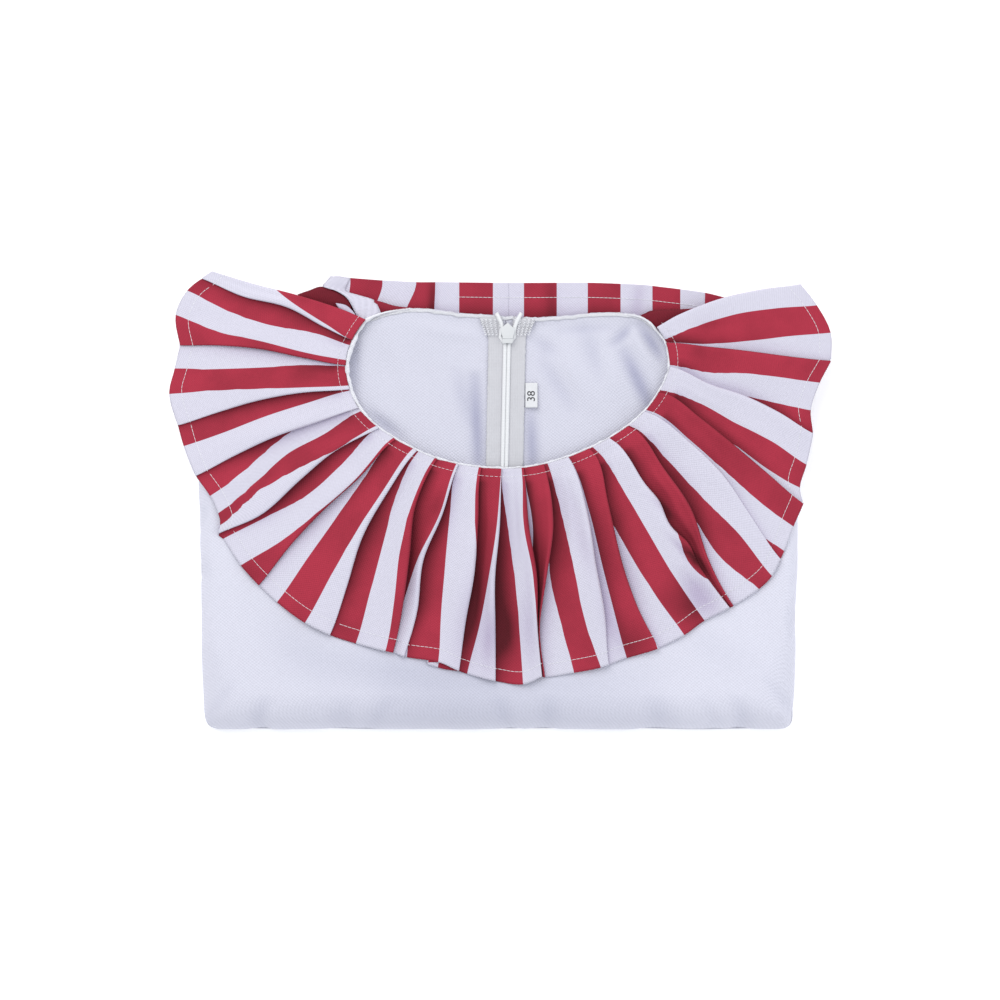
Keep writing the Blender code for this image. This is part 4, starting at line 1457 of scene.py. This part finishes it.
def swept(line, radii, sides):
    """A round bar along a line, with a radius at each point and closed ends: points and faces."""
    points = []
    for index, (spot, radius) in enumerate(zip(line, radii)):
        before, after = line[max(index - 1, 0)], line[min(index + 1, len(line) - 1)]
        along = (after - before).normalized()
        across = along.cross(Vector((0.0, 0.0, 1.0))).normalized()
        over = across.cross(along)
        for side in range(sides):
            angle = FULL_TURN * side / sides
            points.append(tuple(spot + (across * math.cos(angle) + over * math.sin(angle)) * radius))
    ends = [tuple(range(sides)), tuple(range(len(points) - sides, len(points)))]
    return points, grid_faces(len(line), sides, closed=True) + ends


def zip_rail(name, node, side, top):
    line = [Vector((zip_x(y) + side * RAIL_APART, y, RAIL_LEVEL))
            for y in [ZIP_HIDDEN_Y + step * RAIL_STEP for step in range(RAIL_STEPS)]]
    line += [Vector((x, y, RAIL_LEVEL + 0.7 * smooth(100.0, 112.0, y))) for x, y in top]
    make_piece(name, node, "zip_coil", zip_nylon, *swept(line, [RAIL_RADIUS] * len(line), RAIL_SIDES))


def zip_slider():
    """The slider's shield over the coils, with a low step before its tail."""
    points, faces = [], []
    for outline, levels in ((SLIDER_BODY, SLIDER_LEVELS), (SLIDER_STEP, SLIDER_STEP_LEVELS)):
        first, size = len(points), len(outline)
        points += [(x, y, level) for level in levels for x, y in outline]
        faces += grid_faces(2, size, closed=True, first=first)
        faces += [tuple(range(ring, ring + size)) for ring in (first, first + size)]
    make_piece("zip_slider_shield", "zip_slider", "zip_coil", zip_paint, points, faces,
               rounding=SLIDER_ROUNDING)


zip_tape("zip_tape_left_knit", "zip_tape_left", -1.0)
zip_tape("zip_tape_right_knit", "zip_tape_right", 1.0)
zip_rail("zip_rail_left_coil", "zip_rail_left", -1.0, RAIL_TOP_LEFT)
zip_rail("zip_rail_right_coil", "zip_rail_right", 1.0, RAIL_TOP_RIGHT)
zip_slider()


# ---- Size label ---------------------------------------------------------------------------
# A small tag of white satin ribbon, caught under the edge of the zip tape and read sideways.
# Its size number is woven in black.
LABEL_LEFT = 15.6
LABEL_RIGHT = 23.2
LABEL_LOW = 57.8
LABEL_HIGH = 73.3
LABEL_LEVEL = 24.35
LABEL_WALL = 0.25
LABEL_COLUMNS = 12
LABEL_ROWS = 22
LABEL_WHITE = (0.72, 0.725, 0.74)
LABEL_BLACK = (0.012, 0.012, 0.014)
SATIN_RIB = 0.0005
NUMBER_SIZE = 7.0
NUMBER_DEPTH = 0.06
NUMBER_RISE = 0.16


def satin_finish(name, colour):
    """Fine satin with a faint rib across it."""
    finish = Finish(name)
    place = finish.place()
    rib = finish.axes(place)[1].wave(SATIN_RIB) * 0.5 + 0.5
    worn = finish.cloud(place, 220.0, 2.0)
    finish.set(Base_Color=finish.blend(rib * 0.4 + worn * 0.6, scaled(0.9, colour), colour),
               Roughness=worn * 0.15 + 0.42, Normal=finish.bump(rib, 0.3, 0.0002), Sheen_Weight=0.15)
    return finish.material


def label_height(x, y):
    """The tag curls up a little at its free side."""
    free = smooth(LABEL_LEFT + 2.0, LABEL_RIGHT, x)
    return LABEL_LEVEL + 0.55 * free * (0.7 + 0.3 * math.cos((y - LABEL_LOW) * 0.35))


def size_number():
    """The number 38, laid over the tag and turned a quarter."""
    text = bpy.data.curves.new("size_number", "FONT")
    text.body = "38"
    text.size = NUMBER_SIZE * MM
    text.align_x = "CENTER"
    text.align_y = "CENTER"
    text.extrude = NUMBER_DEPTH * MM
    text.resolution_u = 4
    holder = add_object("size_number_curve", text)
    mesh = plain_mesh(holder)
    bpy.data.objects.remove(holder)
    for vertex in mesh.vertices:
        across, up, out = vertex.co / MM
        x = (LABEL_LEFT + LABEL_RIGHT) / 2.0 - up
        y = (LABEL_LOW + LABEL_HIGH) / 2.0 + across - 0.6
        vertex.co = Vector((x, y, label_height(x, y) + NUMBER_RISE + out)) * MM
    mesh.materials.clear()
    mesh.materials.append(satin_finish("label_black_thread", LABEL_BLACK))
    return fit(add_object("size_number", mesh))


def size_label():
    points = []
    for column in range(LABEL_COLUMNS):
        x = mix(LABEL_LEFT, LABEL_RIGHT, column / (LABEL_COLUMNS - 1.0))
        for row in range(LABEL_ROWS):
            y = mix(LABEL_LOW, LABEL_HIGH, row / (LABEL_ROWS - 1.0))
            points.append((x, y, label_height(x, y)))
    ribbon = make_piece("size_label_ribbon", "size_label", "woven_label",
                        satin_finish("label_satin", LABEL_WHITE), points,
                        grid_faces(LABEL_COLUMNS, LABEL_ROWS), wall=LABEL_WALL)
    size_number()


size_label()


# ---- Neck seam ----------------------------------------------------------------------------
# The trimmed seam allowance of ruffle and body, rolled inward all round the neck.
# It is overlocked in the white polyester thread that sews the whole costume.
THREAD_WHITE = (0.84, 0.84, 0.87)
THREAD_TWIST = 0.0006
SEAM_WHITE = (0.78, 0.78, 0.82)
RIM_START = -3.0
RIM_SPACING = 3.05
RIM_POINTS = 61
RIM_SIDES = 10
RIM_INSET = 0.35
RIM_LEVEL = FRONT_TOP + NECK_LIFT + 0.25
RIM_LEFT_END = [
    # x, y, height from the back edge round to the ruffle
    (-57.2, 119.7, 24.4), (-71.6, 117.5, 25.2), (-83.5, 113, 26.6), (-88.1, 107.4, 27.3),
    (-91, 102.4, 27.8), (-93, 97, 28),
]
RIM_RIGHT_END = [
    # x, y, height from the ruffle round to the back edge
    (104.6, 93, 28), (102.6, 99.6, 27.8), (97.4, 106, 27.3), (93.6, 110.6, 26.6), (87, 114.6, 25.2),
    (78, 116.2, 24.4),
]
# A stitch is its spacing, length and thread width in mm, and its slant in radians.
RIM_OVERLOCK = (0.9, 1.7, 0.42, 1.3)


def thread_finish():
    """Matt spun thread with a faint twist."""
    finish = Finish("sewing_thread")
    across, along, _ = finish.axes(finish.place())
    twist = (across + along).wave(THREAD_TWIST) * 0.5 + 0.5
    finish.set(Base_Color=finish.blend(twist, scaled(0.88, THREAD_WHITE), THREAD_WHITE),
               Roughness=twist * 0.1 + 0.6, Normal=finish.bump(twist, 0.3, 0.0002))
    return finish.material


def stitch_tree():
    """Stitches laid end to end along every edge of a line."""
    tree = bpy.data.node_groups.new("stitches_along_a_line", "GeometryNodeTree")
    face = tree.interface
    face.new_socket("Line", in_out="INPUT", socket_type="NodeSocketGeometry")
    for name in ("Spacing", "Stitch Length", "Thread Width", "Slant"):
        face.new_socket(name, in_out="INPUT", socket_type="NodeSocketFloat")
    face.new_socket("Thread", in_out="INPUT", socket_type="NodeSocketMaterial")
    face.new_socket("Stitches", in_out="OUTPUT", socket_type="NodeSocketGeometry")
    entry, leave, curve, resample, stitch, tangent, slant, align, size, lay, realise, paint = (
        tree.nodes.new(kind) for kind in (
            "NodeGroupInput", "NodeGroupOutput", "GeometryNodeMeshToCurve", "GeometryNodeResampleCurve",
            "GeometryNodeMeshIcoSphere", "GeometryNodeInputTangent", "ShaderNodeVectorRotate",
            "FunctionNodeAlignRotationToVector", "ShaderNodeCombineXYZ", "GeometryNodeInstanceOnPoints",
            "GeometryNodeRealizeInstances", "GeometryNodeSetMaterial"))
    resample.mode = "LENGTH"
    stitch.inputs["Radius"].default_value = 0.5
    stitch.inputs["Subdivisions"].default_value = 1
    slant.rotation_type = "Z_AXIS"
    align.axis = "Z"
    for source, out, target, into in (
            (entry, "Line", curve, "Mesh"),
            (curve, "Curve", resample, "Curve"),
            (entry, "Spacing", resample, "Length"),
            (tangent, "Tangent", slant, "Vector"),
            (entry, "Slant", slant, "Angle"),
            (slant, "Vector", align, "Vector"),
            (entry, "Thread Width", size, "X"),
            (entry, "Thread Width", size, "Y"),
            (entry, "Stitch Length", size, "Z"),
            (resample, "Curve", lay, "Points"),
            (stitch, "Mesh", lay, "Instance"),
            (align, "Rotation", lay, "Rotation"),
            (size, "Vector", lay, "Scale"),
            (lay, "Instances", realise, "Geometry"),
            (realise, "Geometry", paint, "Geometry"),
            (entry, "Thread", paint, "Material"),
            (paint, "Geometry", leave, "Stitches")):
        tree.links.new(source.outputs[out], target.inputs[into])
    return tree


thread = thread_finish()
stitches = stitch_tree()


def sew(name, lines, stitch):
    """Sews along lines of points in mm, with one kind of stitch."""
    spacing, length, width, slant = stitch
    points, edges = [], []
    for line in lines:
        edges += [(len(points) + index, len(points) + index + 1) for index in range(len(line) - 1)]
        points += [tuple(value * MM for value in spot) for spot in line]
    mesh = bpy.data.meshes.new(name)
    mesh.from_pydata(points, edges, [])
    path = add_object(name + "_path", mesh)
    maker = path.modifiers.new("stitches", "NODES")
    maker.node_group = stitches
    values = {"Spacing": spacing * MM, "Stitch Length": length * MM, "Thread Width": width * MM,
              "Slant": slant, "Thread": thread}
    for socket in stitches.interface.items_tree:
        if socket.in_out == "INPUT" and socket.name in values:
            maker[socket.identifier] = values[socket.name]
    made = plain_mesh(path)
    bpy.data.objects.remove(path)
    soften(made)
    fit(add_object(name, made))


def rim_line():
    """The neck seam's turned edge: listed points behind, and just inside the ruffle in front."""
    line = list(RIM_LEFT_END)
    for step in range(RIM_POINTS):
        bearing = RIM_START + step * RIM_SPACING
        flat = next((flat for flat in ruffle_flats if bearing <= flat.right[0]), ruffle_flats[-1])
        left, right = along_line(flat.left, 0.0), along_line(flat.right, 0.0)
        share = min(max((bearing - left) / (right - left), 0.0), 1.0)
        line.append((*at_bearing(bearing, flat.spot(share, 0.0)[1] - RIM_INSET), RIM_LEVEL))
    return line + RIM_RIGHT_END


def neck_rim():
    """The seam allowance, rolled inward along the neck edge and wider at the left."""
    white_edge = white_finish("white_seam_edge", TWILL_PITCH * 0.6, 0.08, SEAM_WHITE, CLOTH_PAINTED_SHADE)
    line, radii = [], []
    fine = through(rim_line(), 5)
    for index, (x, y, z) in enumerate(fine):
        inward = (Vector((NECK[0], NECK[1], 0.0)) - Vector((x, y, 0.0))).normalized()
        ragged = drift(x * 0.33, y * 0.33, 6.0)
        wide = smooth(-70.0, -90.0, x) * smooth(45.0, 60.0, y)
        ends = min(index, len(fine) - 1 - index) / 9.0
        radii.append((0.75 + 0.6 * wide + (0.35 + 0.3 * wide) * ragged) * (0.3 + 0.7 * min(ends, 1.0)))
        line.append(Vector((x, y, z + 0.25 * ragged)) + inward * (0.5 * wide + 0.2 * ragged))
    make_piece("neck_rim", None, "white_twill", white_edge, *swept(line, radii, RIM_SIDES))
    above = [tuple(spot + Vector((0.0, 0.0, radius))) for spot, radius in zip(line, radii)]
    sew("neck_rim_overlock", [above], RIM_OVERLOCK)


neck_rim()


# ---- Stitches -----------------------------------------------------------------------------
# The same thread: a lock stitch along the ruffle's hem and one along its neck seam, and an
# overlock seam that binds the backs' neck edge and the ends of the zip tapes.
HEM_DEPTH = 8.0
SEAM_DEPTH = 5.0
SEAM_POINTS = 15
NARROWEST_SEWN = 2.0
HEM_STITCH = (2.6, 3.3, 0.36, 0.0)
SEAM_STITCH = (2.4, 2.7, 0.28, 0.0)
BACK_OVERLOCK = (0.62, 3.1, 0.62, 1.42)
TAPE_OVERLOCK = (1.25, 2.6, 0.5, 1.0)
TAPE_UNDERLOCK = (1.7, 2.4, 0.45, -0.8)
BACK_HEM_RUNS = [
    # first x, last x, height above the right end of the strip
    (-26.0, 4.0, OVERLAP_LIFT),
    (5.4, 137.0, 0.0),
]
BACK_HEM_SPACING = 2.0
BACK_OVERLOCK_START = -86.0
BACK_OVERLOCK_SPACING = 2.0
BACK_OVERLOCK_POINTS = 92
TAPE_END_LEVEL = 25.7
TAPE_END_STITCHES = (4.6, 7.4, 10.2, 12.8, 15.2)
TAPE_END_Y = (103.5, 106.0, 108.5, 111.0, 112.6)


def ruffle_seam(distance, from_hem):
    """Lines over every flat, a fixed distance from the hem or from the neck."""
    lines = []
    for flat in ruffle_flats:
        if flat.width(1.0 if from_hem else 0.0) <= NARROWEST_SEWN:
            continue
        line = []
        for step in range(SEAM_POINTS):
            across = mix(0.03 if flat.first else 0.10, 0.985, step / (SEAM_POINTS - 1.0))
            share = distance / (flat.spot(across, 1.0)[1] - flat.spot(across, 0.0)[1])
            x, y, z = flat.top(across, 1.0 - share if from_hem else share)[0]
            line.append((x, y, z + RUFFLE_WALL / 2.0 + 0.05))
        lines.append(line)
    return lines


def back_hem_line(first, last, lift):
    """The hem's seam along one end of the strip, behind the neck."""
    line = []
    count = round((last - first) / BACK_HEM_SPACING)
    for step in range(count + 1):
        x = mix(first, last, step / count)
        y = between_rows(BACK_HEM, x) - HEM_DEPTH * 1.15
        line.append((x, y, BACK_RUFFLE_LEVEL + lift + max(back_wave(x, y), -0.5) + 0.15))
    return line


def back_neck_line():
    """A slightly unsteady line along the backs' neck edge."""
    line = []
    for step in range(BACK_OVERLOCK_POINTS):
        x = BACK_OVERLOCK_START + step * BACK_OVERLOCK_SPACING
        y = between_rows(BACK_NECK_EDGE, x) - 1.4 + 0.9 * drift(x * 0.21, 4.0, 1.0)
        line.append((x, y, BACK_TOP + 0.85 + 0.3 * drift(x * 0.3, 9.0, 1.0)))
    return line


def tape_end_lines(level):
    """Short lines up the flared ends of both tapes."""
    return [[(zip_x(y) + side * distance * mix(0.86, 1.05, smooth(101.0, 113.0, y)), y, level)
             for y in TAPE_END_Y]
            for side in (-1.0, 1.0) for distance in TAPE_END_STITCHES]


sew("ruffle_hem_stitches", ruffle_seam(HEM_DEPTH, True), HEM_STITCH)
sew("neck_seam_stitches", ruffle_seam(SEAM_DEPTH, False), SEAM_STITCH)
sew("neck_overlock_across", [back_neck_line()], BACK_OVERLOCK)
sew("tape_end_overlock", tape_end_lines(TAPE_END_LEVEL), TAPE_OVERLOCK)
sew("tape_end_overlock_back", tape_end_lines(TAPE_END_LEVEL + 0.15), TAPE_UNDERLOCK)
sew("back_hem_stitches", [back_hem_line(*run) for run in BACK_HEM_RUNS], HEM_STITCH)
